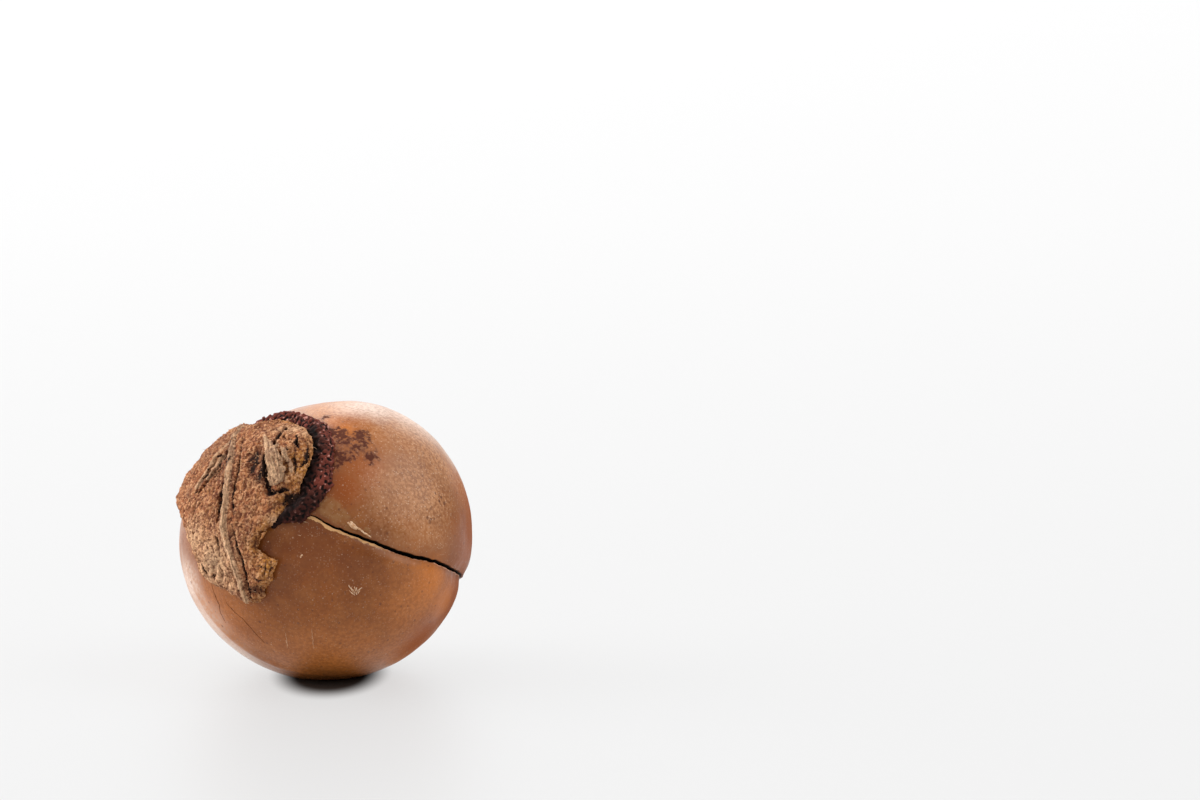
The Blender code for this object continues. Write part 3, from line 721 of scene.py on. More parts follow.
def slab(outline):
    """A flat slab over an outline, from height 0 to height 1: its points and its faces."""
    count = len(outline)
    points = np.concatenate([np.column_stack((outline, np.full(count, z))) for z in (0.0, 1.0)])
    faces = [tuple(range(count))[::-1], tuple(range(count, 2 * count))]
    faces += [(i, (i + 1) % count, count + (i + 1) % count, count + i) for i in range(count)]
    return points, faces


def as_mesh(name, bodies, **attributes):
    """One mesh of several closed bodies, given as points and faces, with values stored at its points."""
    points, faces, first = [], [], 0
    for body_points, body_faces in bodies:
        points.append(body_points)
        faces += [tuple(int(corner) + first for corner in face) for face in body_faces]
        first += len(body_points)
    mesh = bpy.data.meshes.new(name)
    mesh.from_pydata(np.concatenate(points).tolist(), [], faces)
    for label, values in attributes.items():
        sort, key = ("FLOAT_VECTOR", "vector") if np.ndim(values) == 2 else ("FLOAT", "value")
        mesh.attributes.new(label, sort, "POINT").data.foreach_set(key, np.ascontiguousarray(values, float).ravel())
    return mesh


def worked(name, mesh, *steps):
    """Works a mesh and returns its points and its faces."""
    done = shaped(name, mesh, *steps)
    result = done.data
    points = np.array([point.co for point in result.vertices])
    faces = [tuple(face.vertices) for face in result.polygons]
    bpy.data.objects.remove(done)
    bpy.data.meshes.remove(result)
    return points, faces


def skin_of(name, bodies, *steps):
    """The points and the quads of the skin that several bodies have once they are worked."""
    points, quads = worked(name, as_mesh(name, bodies), *steps)
    return points, np.array(quads)


def outward(points, quads):
    """The way out of the skin at each of its points."""
    corners = points[quads]
    faces = np.cross(corners[:, 2] - corners[:, 0], corners[:, 3] - corners[:, 1])
    total = np.zeros_like(points)
    for k in range(4):
        np.add.at(total, quads[:, k], faces)
    return total / np.maximum(np.linalg.norm(total, axis=1, keepdims=True), 1e-12)


def relaxed(points, quads, rounds):
    """The skin's points with its small bumps smoothed away."""
    start, end = quads.ravel(), np.roll(quads, -1, 1).ravel()
    wide = len(points)
    count = np.bincount(start, minlength=wide) + np.bincount(end, minlength=wide)
    for _ in range(rounds):
        columns = [np.bincount(start, column[end], wide) + np.bincount(end, column[start], wide) for column in points.T]
        points = np.stack(columns, -1) / count[:, None]
    return points


def hollows(points, quads, rounds, full):
    """How far each point lies in a hollow: 1 is full deep or more, -1 is as far up on a bump."""
    return np.clip(((relaxed(points, quads, rounds) - points) * outward(points, quads)).sum(1) / full, -1, 1)


def strewn(skin, shape, density, sizes, seed, spin, facing=None, upright=False):
    """Copies of a shape strewn over a skin, with their least and greatest size and the span of their random turn."""
    tree = skin.tree
    spread = wire(tree, "GeometryNodeDistributePointsOnFaces", skin, facing)
    feed([spread.inputs[name] for name in ("Density", "Seed")], (density, seed))
    size = Value(tree, wire(tree, "FunctionNodeRandomValue", None, None, *sizes).outputs[1])
    turn = put(tree, "FunctionNodeRandomValue", *spin, data_type="FLOAT_VECTOR")
    if upright:
        standing = Value(tree, spread.outputs["Rotation"])
        turn = put(tree, "FunctionNodeRotateRotation", standing, turn, rotation_space="LOCAL")
    placed = wire(tree, "GeometryNodeInstanceOnPoints", Value(tree, spread.outputs[0]))
    feed([placed.inputs[name] for name in ("Instance", "Rotation", "Scale")], (shape, turn, size))
    return put(tree, "GeometryNodeRealizeInstances", Value(tree, placed.outputs[0]))


def joined(*shapes):
    """Several shapes as one."""
    made = wire(shapes[0].tree, "GeometryNodeJoinGeometry")
    for shape in shapes:
        shape.to(made.inputs[0])
    return Value(shapes[0].tree, made.outputs[0])


def granule_tree():
    """Strews small round grains over a skin."""
    tree, given, result = new_tree(
        "granules",
        "GeometryNodeTree",
        {
            "Skin": "Geometry",
            "Density": GRANULES_PER_MM2,
            "Smallest": GRANULE_SIZES[0],
            "Largest": GRANULE_SIZES[1],
            "Seed": 3,
        },
        {"Grainy": "Geometry"},
    )
    grain = put(tree, "GeometryNodeMeshIcoSphere", 1.0, 2)
    sizes = given["Smallest"], given["Largest"]
    any_way = (0, 0, 0), (math.tau,) * 3
    grains = strewn(given["Skin"], grain, given["Density"], sizes, given["Seed"], any_way)
    joined(grains, given["Skin"]).to(result[0])
    return tree


GRANULES = granule_tree()


def lining_outline():
    """The crescent's outline: its outer edge, then back a little way under the scrap's edge."""
    inner = []
    for i in range(*LINING_INNER):
        before, here, after = (np.array(SCRAP_OUTLINE[k]) for k in (i - 1, i, i + 1))
        step = (after - before) / np.linalg.norm(after - before)
        inner.append(tuple(here + np.array((-step[1], step[0])) * LINING_UNDER_SCRAP))
    return LINING_EDGE + tuple(inner[::-1])


def lining_top(spots):
    """The height of the crust over the shell."""
    outline = lining_outline()
    full = np.clip(route_distance(spots, outline + outline[:1])[0] / LINING_THIN_REACH, 0, 1)
    inset, spread, height = LINING_RIM
    rim = height * bell(route_distance(spots, LINING_EDGE)[0] - inset, spread)
    middle, reach, more = THICK_SPOT
    thick = more * bell(np.linalg.norm(spots - middle, axis=1), reach)
    lumps = rough(spots, LINING_LUMPS, seed=4.0)
    return LINING_THICKNESS * (LINING_THIN_EDGE + (1 - LINING_THIN_EDGE) * full) + (rim + thick + lumps) * full


def lining_mesh():
    """The torn crescent with its grains, fused and bent onto the ball."""
    outline = torn(lining_outline(), LINING_RAGGED, 2.0)
    points, quads = skin_of("crust", [slab(outline)], VOXEL)
    points[:, 2] = LINING_GAP + np.clip(points[:, 2], 0, 1) * lining_top(points[:, :2])
    points, quads = skin_of("grainy_crust", [(points, quads)], (GRANULES, {}), VOXEL)
    points = points + outward(points, quads) * rough(points, LINING_GRAIN, seed=6.0)[:, None]
    points[:, 2] = np.maximum(points[:, 2], 0.0)
    # Painted shadow from the scrap's lobe, stored as under, and darker towards the lining's low end.
    (first, last), black, clear = LINING_SHADED
    under = 1 - eased(route_distance(points[:, :2], SCRAP_OUTLINE[first:last])[0], black, clear)
    under = np.maximum(under, LINING_LOW[2] * (1 - eased(points[:, 1], *LINING_LOW[:2])))
    hollow = hollows(points, quads, rounds=6, full=0.05)
    return as_mesh("husk_lining", [(on_ball(points), quads)], hollow=hollow, under=under)


LINING_DARK = linear(66, 31, 23)
LINING_MAROON = linear(118, 56, 44)
LINING_PALE = linear(206, 148, 134)
LINING_SHADOW_BLACK = linear(12, 6, 5)
# How far in a hollow, or up on a bump, the lining's colours start and end: painted shade in the hollows, and
# maroon and pale specks on the bumps, partly painted highlight.
LINING_RAISED = (-0.1, -0.9)
LINING_SUNKEN = (-0.1, 0.6)


def lining_finish():
    made, shader, spot = finish("dry_dark_lining", roughness=0.8, specular=0.15)
    hollow, under = (stored(spot.tree, name, "Fac") for name in ("hollow", "under"))
    colour = mix(masked(CLOUD, spot, scale=700.0, detail=4.0, contrast=0.2), LINING_DARK, LINING_MAROON)
    # Maroon and pale specks on the bumps, partly painted highlight; black in the hollows, painted shade.
    raised = hollow.rise(*LINING_RAISED)
    colour = painted(colour, LINING_MAROON, raised, most=0.5)
    pale = masked(SPECKS, spot, scale=3200.0, size=0.55, amount=0.4) * raised
    colour = painted(colour, LINING_PALE, pale, most=0.85)
    colour = painted(colour, LINING_SHADOW_BLACK, hollow.rise(*LINING_SUNKEN))
    # Painted shadow where the lining lies under the scrap's lobe.
    painted(colour, LINING_SHADOW_BLACK, under, most=0.93).to(shader.inputs["Base Color"])
    return made


lining = shaped("husk_lining", lining_mesh(), (NUT_FORM, {"Finish": lining_finish()}))
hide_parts("husk_lining")
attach(lining, "root")

# The husk scrap
# A torn scrap of the dry, corky husk, which grew as one piece and still clings over the scar where the nut hung.
# A twisted vein runs down it. On the right a thick, cracked lobe stands over the lining, with a loose, split flap.
SCRAP_THICKNESS = 0.85
SCRAP_RIM = 0.45
SCRAP_RIM_REACH = 0.8
SCRAP_RAGGED = ((0.8, 0.14), (2.2, 0.14), (5.5, 0.07))
SCRAP_LUMPS = (
    ((2.2, 4.6), 1.00, 2.3),
    ((-0.4, 6.0), 0.45, 1.8),
    ((2.4, -6.2), 0.35, 1.3),
    ((-5.0, -3.2), 0.15, 2.0),
    ((0.6, 0.4), -0.15, 1.4),
    ((-2.6, 8.6), 0.40, 2.2),
    ((4.3, 0.5), -0.45, 0.9),
)
# Where the scrap stands clear of the shell: (a, b), how far it is lifted and how wide the lift spreads.
SCRAP_LIFTED = (
    ((5.0, 2.2), 0.55, 1.3),
    ((5.0, 4.4), 0.60, 1.5),
    ((4.0, 6.8), 0.45, 1.5),
    ((3.8, -5.2), 0.35, 1.1),
    ((2.4, -2.4), 0.30, 1.0),
)
SCRAP_UNDERSIDE = 0.06
# Sunken patches of the scrap, with the depth and the softness of their edges.
RECESSES = (
    (((-1.2, 4.3), (-0.2, 4.5), (0.9, 4.0), (1.6, 2.7), (2.3, 0.9), (1.6, 1.4), (0.8, 1.5), (-0.2, 2.2)), 0.40, 0.9),
    (((3.6, 1.0), (4.6, 1.2), (5.2, 1.4), (5.3, 0.2), (4.4, -0.5), (3.5, 0.0)), 0.30, 0.4),
    (((1.4, -7.1), (2.6, -7.0), (2.9, -7.8), (1.5, -7.8)), 0.30, 0.4),
)
# Crevices: their routes, their width where widest, and their depth.
CREVICES = (
    (((-5.2, 4.6), (-5.3, 3.6), (-5.5, 2.8), (-5.7, 2.0), (-6.0, 1.3), (-6.3, 0.4)), 0.52, 0.80),
    (((-4.9, 6.2), (-4.5, 5.0), (-4.25, 4.0), (-4.35, 3.0), (-4.75, 2.1), (-5.2, 1.2), (-5.8, 0.4)), 0.62, 0.90),
    (((-2.8, 1.2), (-2.5, 0.2), (-2.3, -0.9), (-2.1, -2.2)), 0.38, 0.60),
    (
        ((-3.4, 6.2), (-2.9, 5.2), (-2.2, 4.2), (-1.7, 3.0), (-1.4, 1.8), (-1.2, 0.5), (-0.9, -0.4), (-0.6, -1.4)),
        0.24,
        0.45,
    ),
    (((-3.1, 4.6), (-2.9, 3.5), (-2.9, 2.5), (-2.7, 1.2)), 0.20, 0.40),
    (((-0.6, -2.2), (-0.1, -3.3), (0.4, -4.4), (0.8, -5.3), (1.15, -6.4), (1.35, -7.2), (1.5, -8.2)), 0.30, 0.48),
    (((0.7, 4.0), (1.2, 3.0), (1.65, 2.0), (2.2, 0.9)), 0.66, 0.90),
    (((2.2, 0.8), (2.9, 0.95), (3.4, 1.25), (4.0, 1.3)), 0.36, 0.60),
    (((0.8, 7.6), (1.0, 6.7), (1.2, 6.1), (1.3, 5.6), (1.2, 5.1)), 0.52, 0.75),
    (((2.8, 6.2), (3.1, 5.8), (3.3, 5.3), (3.7, 4.8)), 0.36, 0.55),
    (((4.2, 5.4), (4.5, 4.7), (4.6, 4.0), (4.4, 3.3)), 0.38, 0.55),
    (((3.6, 3.9), (4.0, 3.3), (4.2, 2.6)), 0.32, 0.45),
    (((-1.1, 3.25), (-0.4, 3.55), (0.3, 3.5), (1.0, 3.8)), 0.22, 0.30),
    (((-3.9, -5.6), (-3.6, -6.3), (-3.2, -6.7)), 0.26, 0.35),
    (((2.0, -5.4), (2.5, -5.3), (3.1, -5.5)), 0.16, 0.25),
    (((-7.4, 6.8), (-7.7, 5.0), (-8.2, 3.2), (-8.6, 1.4)), 0.22, 0.30),
    (((-3.6, 3.2), (-3.9, 2.4), (-4.3, 1.6)), 0.24, 0.35),
    (((-2.2, -2.4), (-2.0, -3.6), (-1.6, -4.8)), 0.18, 0.35),
    (((3.0, -4.7), (3.1, -5.4), (2.9, -6.0)), 0.14, 0.30),
    (((3.5, -4.8), (3.5, -5.4), (3.3, -6.1)), 0.14, 0.30),
    (((1.8, -6.2), (2.4, -6.5), (3.0, -6.4)), 0.18, 0.35),
    (((-0.2, 7.6), (0.4, 6.9), (0.9, 6.7)), 0.20, 0.35),
    (((2.6, 4.9), (2.9, 4.4), (3.0, 3.8)), 0.18, 0.35),
    (((3.4, 4.9), (3.6, 4.4), (3.7, 3.9)), 0.16, 0.35),
)
# How the cuts waver: how many bends to the millimetre, and how far they stray.
CUT_WAVER = (2.6, 0.10)
# How wide a crevice still is at its ends, and where its sides start and end, as shares of its width.
CREVICE_ENDS = 0.35
CREVICE_SIDES = (0.35, 1.25)
PITS = (((-2.6, -6.7), 0.28, 0.30), ((-1.4, -6.4), 0.22, 0.22), ((1.2, 5.0), 0.35, 0.45), ((2.4, 0.85), 0.35, 0.5))
VEIN = (
    (-6.3, 8.6), (-5.2, 6.6), (-4.0, 5.0), (-2.95, 3.5), (-2.4, 2.2), (-2.0, 0.9), (-1.75, -0.2), (-1.5, -1.4),
    (-1.35, -2.6), (-0.9, -3.8), (-0.4, -4.8), (0.1, -5.8), (0.5, -6.8), (0.75, -7.8), (0.85, -8.8),
)
SLIT_EDGES = (
    ((-5.6, 6.2), (-5.7, 5.0), (-5.6, 4.0), (-5.8, 3.0), (-6.2, 2.0), (-6.5, 1.0)),
    ((-4.7, 4.2), (-4.75, 3.4), (-4.95, 2.6), (-5.2, 1.8)),
)
# Bundled strands: the route, how many, how far from the route's middle, how thick, how high, and turns of twist.
# How uneven their twist, reach and girth are goes by bumps to the millimetre and by size.
TWIST_PITCH = 0.8
REACH_UNEVEN = (1.2, 0.5)
GIRTH_UNEVEN = (1.5, 0.35)
BUNDLE_FLATNESS = 0.55
BUNDLES = (
    (VEIN, 5, 0.16, 0.10, 0.14, 1.4),
    (SLIT_EDGES[0], 2, 0.08, 0.09, 0.0, 0.7),
    (SLIT_EDGES[1], 1, 0.0, 0.07, -0.08, 0.0),
    (((2.8, -2.2), (2.5, -2.9), (2.2, -3.4), (1.8, -4.1)), 2, 0.10, 0.075, -0.10, 0.5),
    (((2.3, -1.9), (2.1, -2.9), (1.8, -3.7), (1.5, -4.2)), 1, 0.0, 0.07, 0.0, 0.0),
    (((0.2, 5.5), (1.0, 4.9), (1.7, 4.2), (2.3, 3.4)), 2, 0.09, 0.085, 0.22, 0.4),
    (((2.0, 5.3), (1.9, 4.6), (2.3, 3.9), (2.9, 3.2)), 1, 0.0, 0.08, 0.25, 0.0),
)
# Splinters of the loose flap: route, half widths, and heights over the scrap along it.
SPLINTERS = (
    (
        ((-0.8, 6.4), (0.2, 5.5), (1.1, 4.4), (1.9, 3.3), (2.45, 2.3), (2.75, 1.35)),
        (0.10, 0.16, 0.20, 0.32, 0.44, 0.36),
        (0.02, 0.14, 0.28, 0.44, 0.58, 0.62),
    ),
    (
        ((0.9, 5.2), (1.8, 4.3), (2.6, 3.4), (3.1, 2.5), (3.3, 1.7)),
        (0.08, 0.16, 0.24, 0.30, 0.14),
        (0.06, 0.24, 0.42, 0.50, 0.46),
    ),
    (((1.9, 4.9), (2.7, 4.2), (3.5, 3.4), (3.9, 2.7)), (0.08, 0.18, 0.20, 0.08), (0.05, 0.22, 0.32, 0.28)),
)
SPLINTER_THICKNESS = 0.20
SPLINTER_STEP = 0.25
SPLINTER_UNEVEN = 0.35
LOBE = ((2.4, 4.6), 3.2)
TAIL_LOBE = ((2.9, -5.6), 1.7)
CRACKED = (0.8, 0.15, 0.27)
CRACKED_BEND = (0.8, 1.1)
CRACKED_STRETCH = ((1.25, 0.45), (-0.35, 0.75))
CRACKED_PARTS = (-0.25, 0.1)
CLODS = ((0.65, 0.26), (1.5, 0.20))
# How cloddy the scrap is all over, and how much more so on its lobe and its tail.
CLODDY = (0.45, 0.75, 0.3)
# The corky clods, large to small: how many to the millimetre, and how far they stand out.
CORK = ((0.9, 0.12), (2.0, 0.065), (4.4, 0.04))
CLOD_ROUND = 0.35
CLOD_MIDDLE = 0.6
CREASE_WIDTH = 0.10
CORK_WARP = ((1.1, 0.35), (3.0, 0.12))
CORK_STRETCH = (1.0, 0.6, 1.0)
CREASED = (0.5, 0.08, 0.40)
GRAIN = ((4.2, 0.06), (8.5, 0.06))
# Patches of painted shade on the scrap, paler and ochre patches, with their reach, and the first two with their share.
SHADE_PATCHES = (
    ((-3.6, 2.6), 1.1, 0.60),
    ((-4.2, 4.8), 0.9, 0.55),
    ((-2.9, 0.6), 0.8, 0.40),
    ((-8.4, 5.6), 2.6, 0.45),
    ((-5.8, 7.6), 1.6, 0.35),
    ((4.3, 0.8), 0.95, 0.55),
    ((1.2, -2.6), 1.0, 0.35),
    ((0.2, 3.2), 1.1, 0.25),
    ((2.3, -7.5), 0.8, 0.3),
    ((3.2, 4.4), 0.7, 0.35),
    ((-7.6, 0.6), 0.8, 0.4),
)
PALER = (
    ((-2.4, -5.6), 2.2, 0.9),
    ((-4.8, -3.6), 1.5, 0.7),
    ((-0.6, -7.4), 1.0, 0.5),
    ((2.0, 7.6), 1.0, 0.7),
    ((3.4, 6.8), 0.6, 0.6),
    ((3.3, -1.4), 0.5, 0.6),
    ((0.9, 7.4), 0.9, 0.6),
)
OCHRE_PATCHES = (((4.6, 3.4), 1.7), ((3.6, -5.2), 1.5), ((4.2, 0.4), 1.0))
# Where the fibres and the tones fade: by the distance from a route or the torn edge, the height over the scrap's top,
# or the depth of a cut, in millimetres.
FLAP_EDGE = (0.6, 1.0)
SPLINTER_EDGE = (0.35, 0.6)
VEIN_EDGE = (0.28, 0.5)
BARE_VEIN_EDGE = (0.26, 0.42)
LEFT_OF_VEIN = (0.2, 1.5)
VEIN_SHADE = (0.48, 0.09)
SLIT_EDGE = (0.12, 0.3)
OCHRE_LIT_RIM = (0.2, 0.9)
PROUD = (0.0, 0.15)
ON_TOP = (-0.12, 0.08)
CUT_DARK = (0.07, 0.27)
SUNK_DARK = (0.08, 0.32)
FLAP_ACROSS = (0.85, 0.5)
FLAP_LENGTH = 8
SCRAP_THINNEST = 0.12
LEAST_GAP = 0.02
FIBRES = ((3.2, 0.35), 0.09)
STRAND_SIDES = 8
STRAND_STEP = 0.12
# Loose fibres and crumbs on the torn husk: how many to the square metre, and their least and greatest size in metres.
FUZZ = (0.7e6, 0.00020, 0.00055)
FIBRE_GIRTH = 0.04
FIBRE_BEND = ((0, 0, 0), (0.45, 0.1, 0.16), (1.0, -0.1, 0.10))
FUZZ_LEAN = 0.25
FUZZ_FACING = 0.15
FIBRE_TONE = (0.75, 0.0, 0.0)
CRUMBS = (4.0e6, 0.00003, 0.00009)
CRUMB_TONE = (0.25, 0.25, 0.1)


def smooth_inside(spots, corners, softness):
    """1 well inside an outline on the map, 0 outside, with a soft edge."""
    outline = np.array(corners, float)
    inside = np.zeros(len(spots), bool)
    for (x0, y0), (x1, y1) in zip(outline, np.roll(outline, -1, 0)):
        crosses = (y0 > spots[:, 1]) != (y1 > spots[:, 1])
        inside ^= crosses & (spots[:, 0] < (x1 - x0) * (spots[:, 1] - y0) / (y1 - y0 + SAME_PLACE) + x0)
    edge = route_distance(spots, tuple(corners) + tuple(corners[:1]))[0]
    return eased(np.where(inside, edge, -edge), -softness / 2, softness / 2)


def near(spots, patch):
    """1 in the middle of a patch on the map, and less further off."""
    middle, spread = patch
    return bell(np.linalg.norm(spots - middle, axis=1), spread)


def corky(spots, layers, seed):
    """Rounded clods with sharp creases between them: their height, and how much of each spot is a crease."""
    height, crease = np.zeros(len(spots)), np.zeros(len(spots))
    warped = spots * CORK_STRETCH + np.stack([rough(spots, CORK_WARP, seed + 90 * k) for k in (1, 2, 3)], -1)
    for number, (pitch, size) in enumerate(layers):
        bulge = np.abs(noisy(warped, pitch, seed + 7.3 * number))
        height += size * (np.minimum(bulge, CLOD_ROUND) / CLOD_ROUND - CLOD_MIDDLE)
        crease = np.maximum(crease, 1 - eased(bulge, 0.0, CREASE_WIDTH))
    return height, crease


def scrap_top(spots):
    """The height of the scrap's top over its underside, before its crevices."""
    rim = np.clip(route_distance(spots, SCRAP_OUTLINE + SCRAP_OUTLINE[:1])[0] / SCRAP_RIM_REACH, 0, 1)
    lumps = sum(height * near(spots, (middle, spread)) for middle, height, spread in SCRAP_LUMPS)
    full = SCRAP_THICKNESS + lumps
    everywhere, on_lobe, on_tail = CLODDY
    cloddy = everywhere + on_lobe * near(spots, LOBE) + on_tail * near(spots, TAIL_LOBE)
    rounded = SCRAP_RIM + (1 - SCRAP_RIM) * np.sqrt(rim * (2 - rim))
    return full * rounded + rough(spots, CLODS, seed=11.0) * cloddy * rim


def scrap_cuts(spots):
    """How deep the crevices, pits and sunken patches go, and how much of each spot is one."""
    wobbly = spots + wavered(spots, *CUT_WAVER, 31.0, 47.0)
    deepest = np.zeros(len(spots))
    for route, width, depth in CREVICES:
        away, along = route_distance(wobbly, route)
        open_by = width / 2 * (CREVICE_ENDS + (1 - CREVICE_ENDS) * np.sin(np.pi * np.clip(along, 0.02, 0.98)))
        deepest = np.maximum(deepest, depth * (1 - eased(away / open_by, *CREVICE_SIDES)))
    for middle, reach, depth in PITS:
        deepest = np.maximum(deepest, depth * near(wobbly, (middle, reach)))
    sunk = sum(depth * smooth_inside(wobbly, corners, softness) for corners, depth, softness in RECESSES)
    pitch, width, depth = CRACKED
    bent = (wobbly + wavered(spots, *CRACKED_BEND, 51.0, 57.0)) @ CRACKED_STRETCH
    cells = [noise.voronoi((a * pitch, b * pitch, 0.4))[0] for a, b in bent.tolist()]
    gaps = np.array([cell[1] - cell[0] for cell in cells])
    lobes = np.clip(near(spots, LOBE) + 0.6 * near(spots, TAIL_LOBE), 0, 1) ** 1.5
    cracked = depth * (1 - eased(gaps, 0.02, width)) * lobes * eased(noisy(spots, 0.9, seed=63.0), *CRACKED_PARTS)
    return np.maximum(deepest, cracked), sunk


def sideways(spots):
    """The way to the left of a route at each of its spots."""
    along = np.gradient(spots, axis=0)
    return np.stack((-along[:, 1], along[:, 0]), -1) / np.linalg.norm(along, axis=1, keepdims=True)


def bundle(route, count, spread, girth, height, turns, seed):
    """The strands of a bundle, as routes in the map's space, each with its girth."""
    spots = resampled(route, STRAND_STEP)
    along = np.linspace(0, 1, len(spots))
    side = sideways(spots)
    base = scrap_base(spots)
    strands = []
    for number in range(count):
        turn = math.tau * (number / count + turns * along) + noisy(spots, TWIST_PITCH, seed + number)
        pitch, size = REACH_UNEVEN
        reach = spread * (1 + size * noisy(spots, pitch, seed + 20 + number))
        away = spots + side * (np.cos(turn) * reach)[:, None]
        z = base + height + BUNDLE_FLATNESS * reach * np.sin(turn)
        pitch, size = GIRTH_UNEVEN
        taper = np.sqrt(np.sin(np.pi * np.clip(along, 0.04, 0.96)))
        thick = girth * (1 + size * noisy(spots, pitch, seed + 40 + number)) * taper
        strands.append((np.column_stack((away, z)), thick))
    return strands


def scrap_base(spots):
    """The height of the scrap's top over the shell, before its crevices."""
    lift = sum(height * near(spots, (middle, spread)) for middle, height, spread in SCRAP_LIFTED)
    return SCRAP_UNDERSIDE + lift + scrap_top(spots)


def ring(tree, sides, radius):
    """A round outline for tubes."""
    profile = wire(tree, "GeometryNodeCurvePrimitiveCircle", sides)
    profile.inputs["Radius"].default_value = radius
    return Value(tree, profile.outputs[0])


def strand_tree():
    """Skins routes into round strands, as thick as the girth stored on their points."""
    tree, given, result = new_tree(
        "strands",
        "GeometryNodeTree",
        {"Routes": "Geometry", "Sides": STRAND_SIDES},
        {"Strands": "Geometry"},
    )
    curve = put(tree, "GeometryNodeMeshToCurve", given["Routes"])
    girth = put(tree, "GeometryNodeInputNamedAttribute", "girth")
    put(tree, "GeometryNodeCurveToMesh", curve, ring(tree, given["Sides"], 1.0), girth, True).to(result[0])
    return tree


STRANDS = strand_tree()


def strand_bodies(strands, sides=STRAND_SIDES):
    """The points and faces of round strands along their routes."""
    points = np.concatenate([route for route, _ in strands])
    ends = np.cumsum([len(route) for route, _ in strands])
    edges = [(i, i + 1) for i in range(len(points) - 1) if i + 1 not in ends]
    mesh = bpy.data.meshes.new("routes")
    mesh.from_pydata(points.tolist(), edges, [])
    girths = np.concatenate([girth for _, girth in strands])
    mesh.attributes.new("girth", "FLOAT", "POINT").data.foreach_set("value", girths)
    return worked("strands", mesh, (STRANDS, {"Sides": sides}))


def splinter(route, half_widths, heights):
    """One flat splinter, from its root in the scrap to its free end."""
    spots = resampled(route, SPLINTER_STEP)
    along, ends = np.linspace(0, 1, len(spots)), np.linspace(0, 1, len(half_widths))
    side = sideways(spots)
    half = np.interp(along, ends, half_widths) * (1 + SPLINTER_UNEVEN * noisy(spots, 1.7, seed=5.0))
    top = scrap_base(spots) + np.interp(along, ends, heights)
    rings = []
    for reach, drop in ((1, 0), (-1, 0.05), (-1, 1), (1, 1)):
        rings.append(np.column_stack((spots + side * (half * reach)[:, None], top - drop * SPLINTER_THICKNESS)))
    points = np.stack(rings, 1).reshape(-1, 3)
    faces = [(0, 1, 2, 3), tuple(len(points) - 4 + k for k in (3, 2, 1, 0))]
    for i in range(len(spots) - 1):
        faces += [(4 * i + k, 4 * i + 4 + k, 4 * i + 4 + (k + 1) % 4, 4 * i + (k + 1) % 4) for k in range(4)]
    return points, faces


def vein_side(spots):
    """How far each spot lies to the right of the vein, which the scrap's fibres follow."""
    route = np.array(VEIN[::-1])
    return spots[:, 0] - np.interp(spots[:, 1], route[:, 1], route[:, 0])


def scrap_tones(points, across, off_vein, on_flap, flap_flow):
    """How pale and how ochre the husk is at each of its points, and how dark, which is mostly painted shade."""
    spots = points[:, :2]
    cut, sunk = scrap_cuts(spots)
    raised = points[:, 2] - scrap_base(spots)
    flap = sum(1 - eased(route_distance(spots, route)[0], *SPLINTER_EDGE) for route, _, _ in SPLINTERS)
    flap = flap * eased(raised, *PROUD)
    pale = np.clip(0.9 * (1 - eased(off_vein, *BARE_VEIN_EDGE)) * eased(raised + sunk, *ON_TOP) + flap, 0, 1)
    for middle, reach, share in PALER:
        pale = np.maximum(pale, share * near(spots, (middle, reach)))
    for route in SLIT_EDGES:
        pale = np.maximum(pale, 0.8 * (1 - eased(route_distance(spots, route)[0], *SLIT_EDGE)))
    edge = route_distance(spots, SCRAP_OUTLINE + SCRAP_OUTLINE[:1])[0]
    ochre = np.clip(sum(near(spots, patch) for patch in OCHRE_PATCHES), 0, 1)
    # Ochre patches, and an ochre rim right of the vein that is partly painted highlight.
    ochre = np.maximum(ochre, 0.6 * (1 - eased(edge, *OCHRE_LIT_RIM)) * (across > 0))
    # Painted shade: dark lines along both sides of the vein.
    away, width = VEIN_SHADE
    vein_shade = 0.8 * bell(off_vein - away, width) * eased(noisy(spots, (1.1, 0.5), seed=95.0), -0.3, 0.1)
    worn = 0.35 * on_flap * eased(noisy(flap_flow, (4.2, 0.5, 1.0), seed=91.0), 0.08, 0.3)
    blotted = 0.7 + 0.9 * noisy(spots, (1.6, 0.9), seed=99.0)
    # Painted shade in the cuts, the sunken patches and the shaded patches, with darker streaks along the flap.
    dark = 1.1 * eased(cut, *CUT_DARK) + blotted * eased(sunk, *SUNK_DARK) + vein_shade + worn
    dark = dark + sum(share * near(spots, (middle, reach)) for middle, reach, share in SHADE_PATCHES)
    dark = np.clip(dark * (1 - 0.45 * np.clip(flap, 0, 1)), 0, 1)
    return np.stack((pale, ochre * (1 - pale), dark), -1)


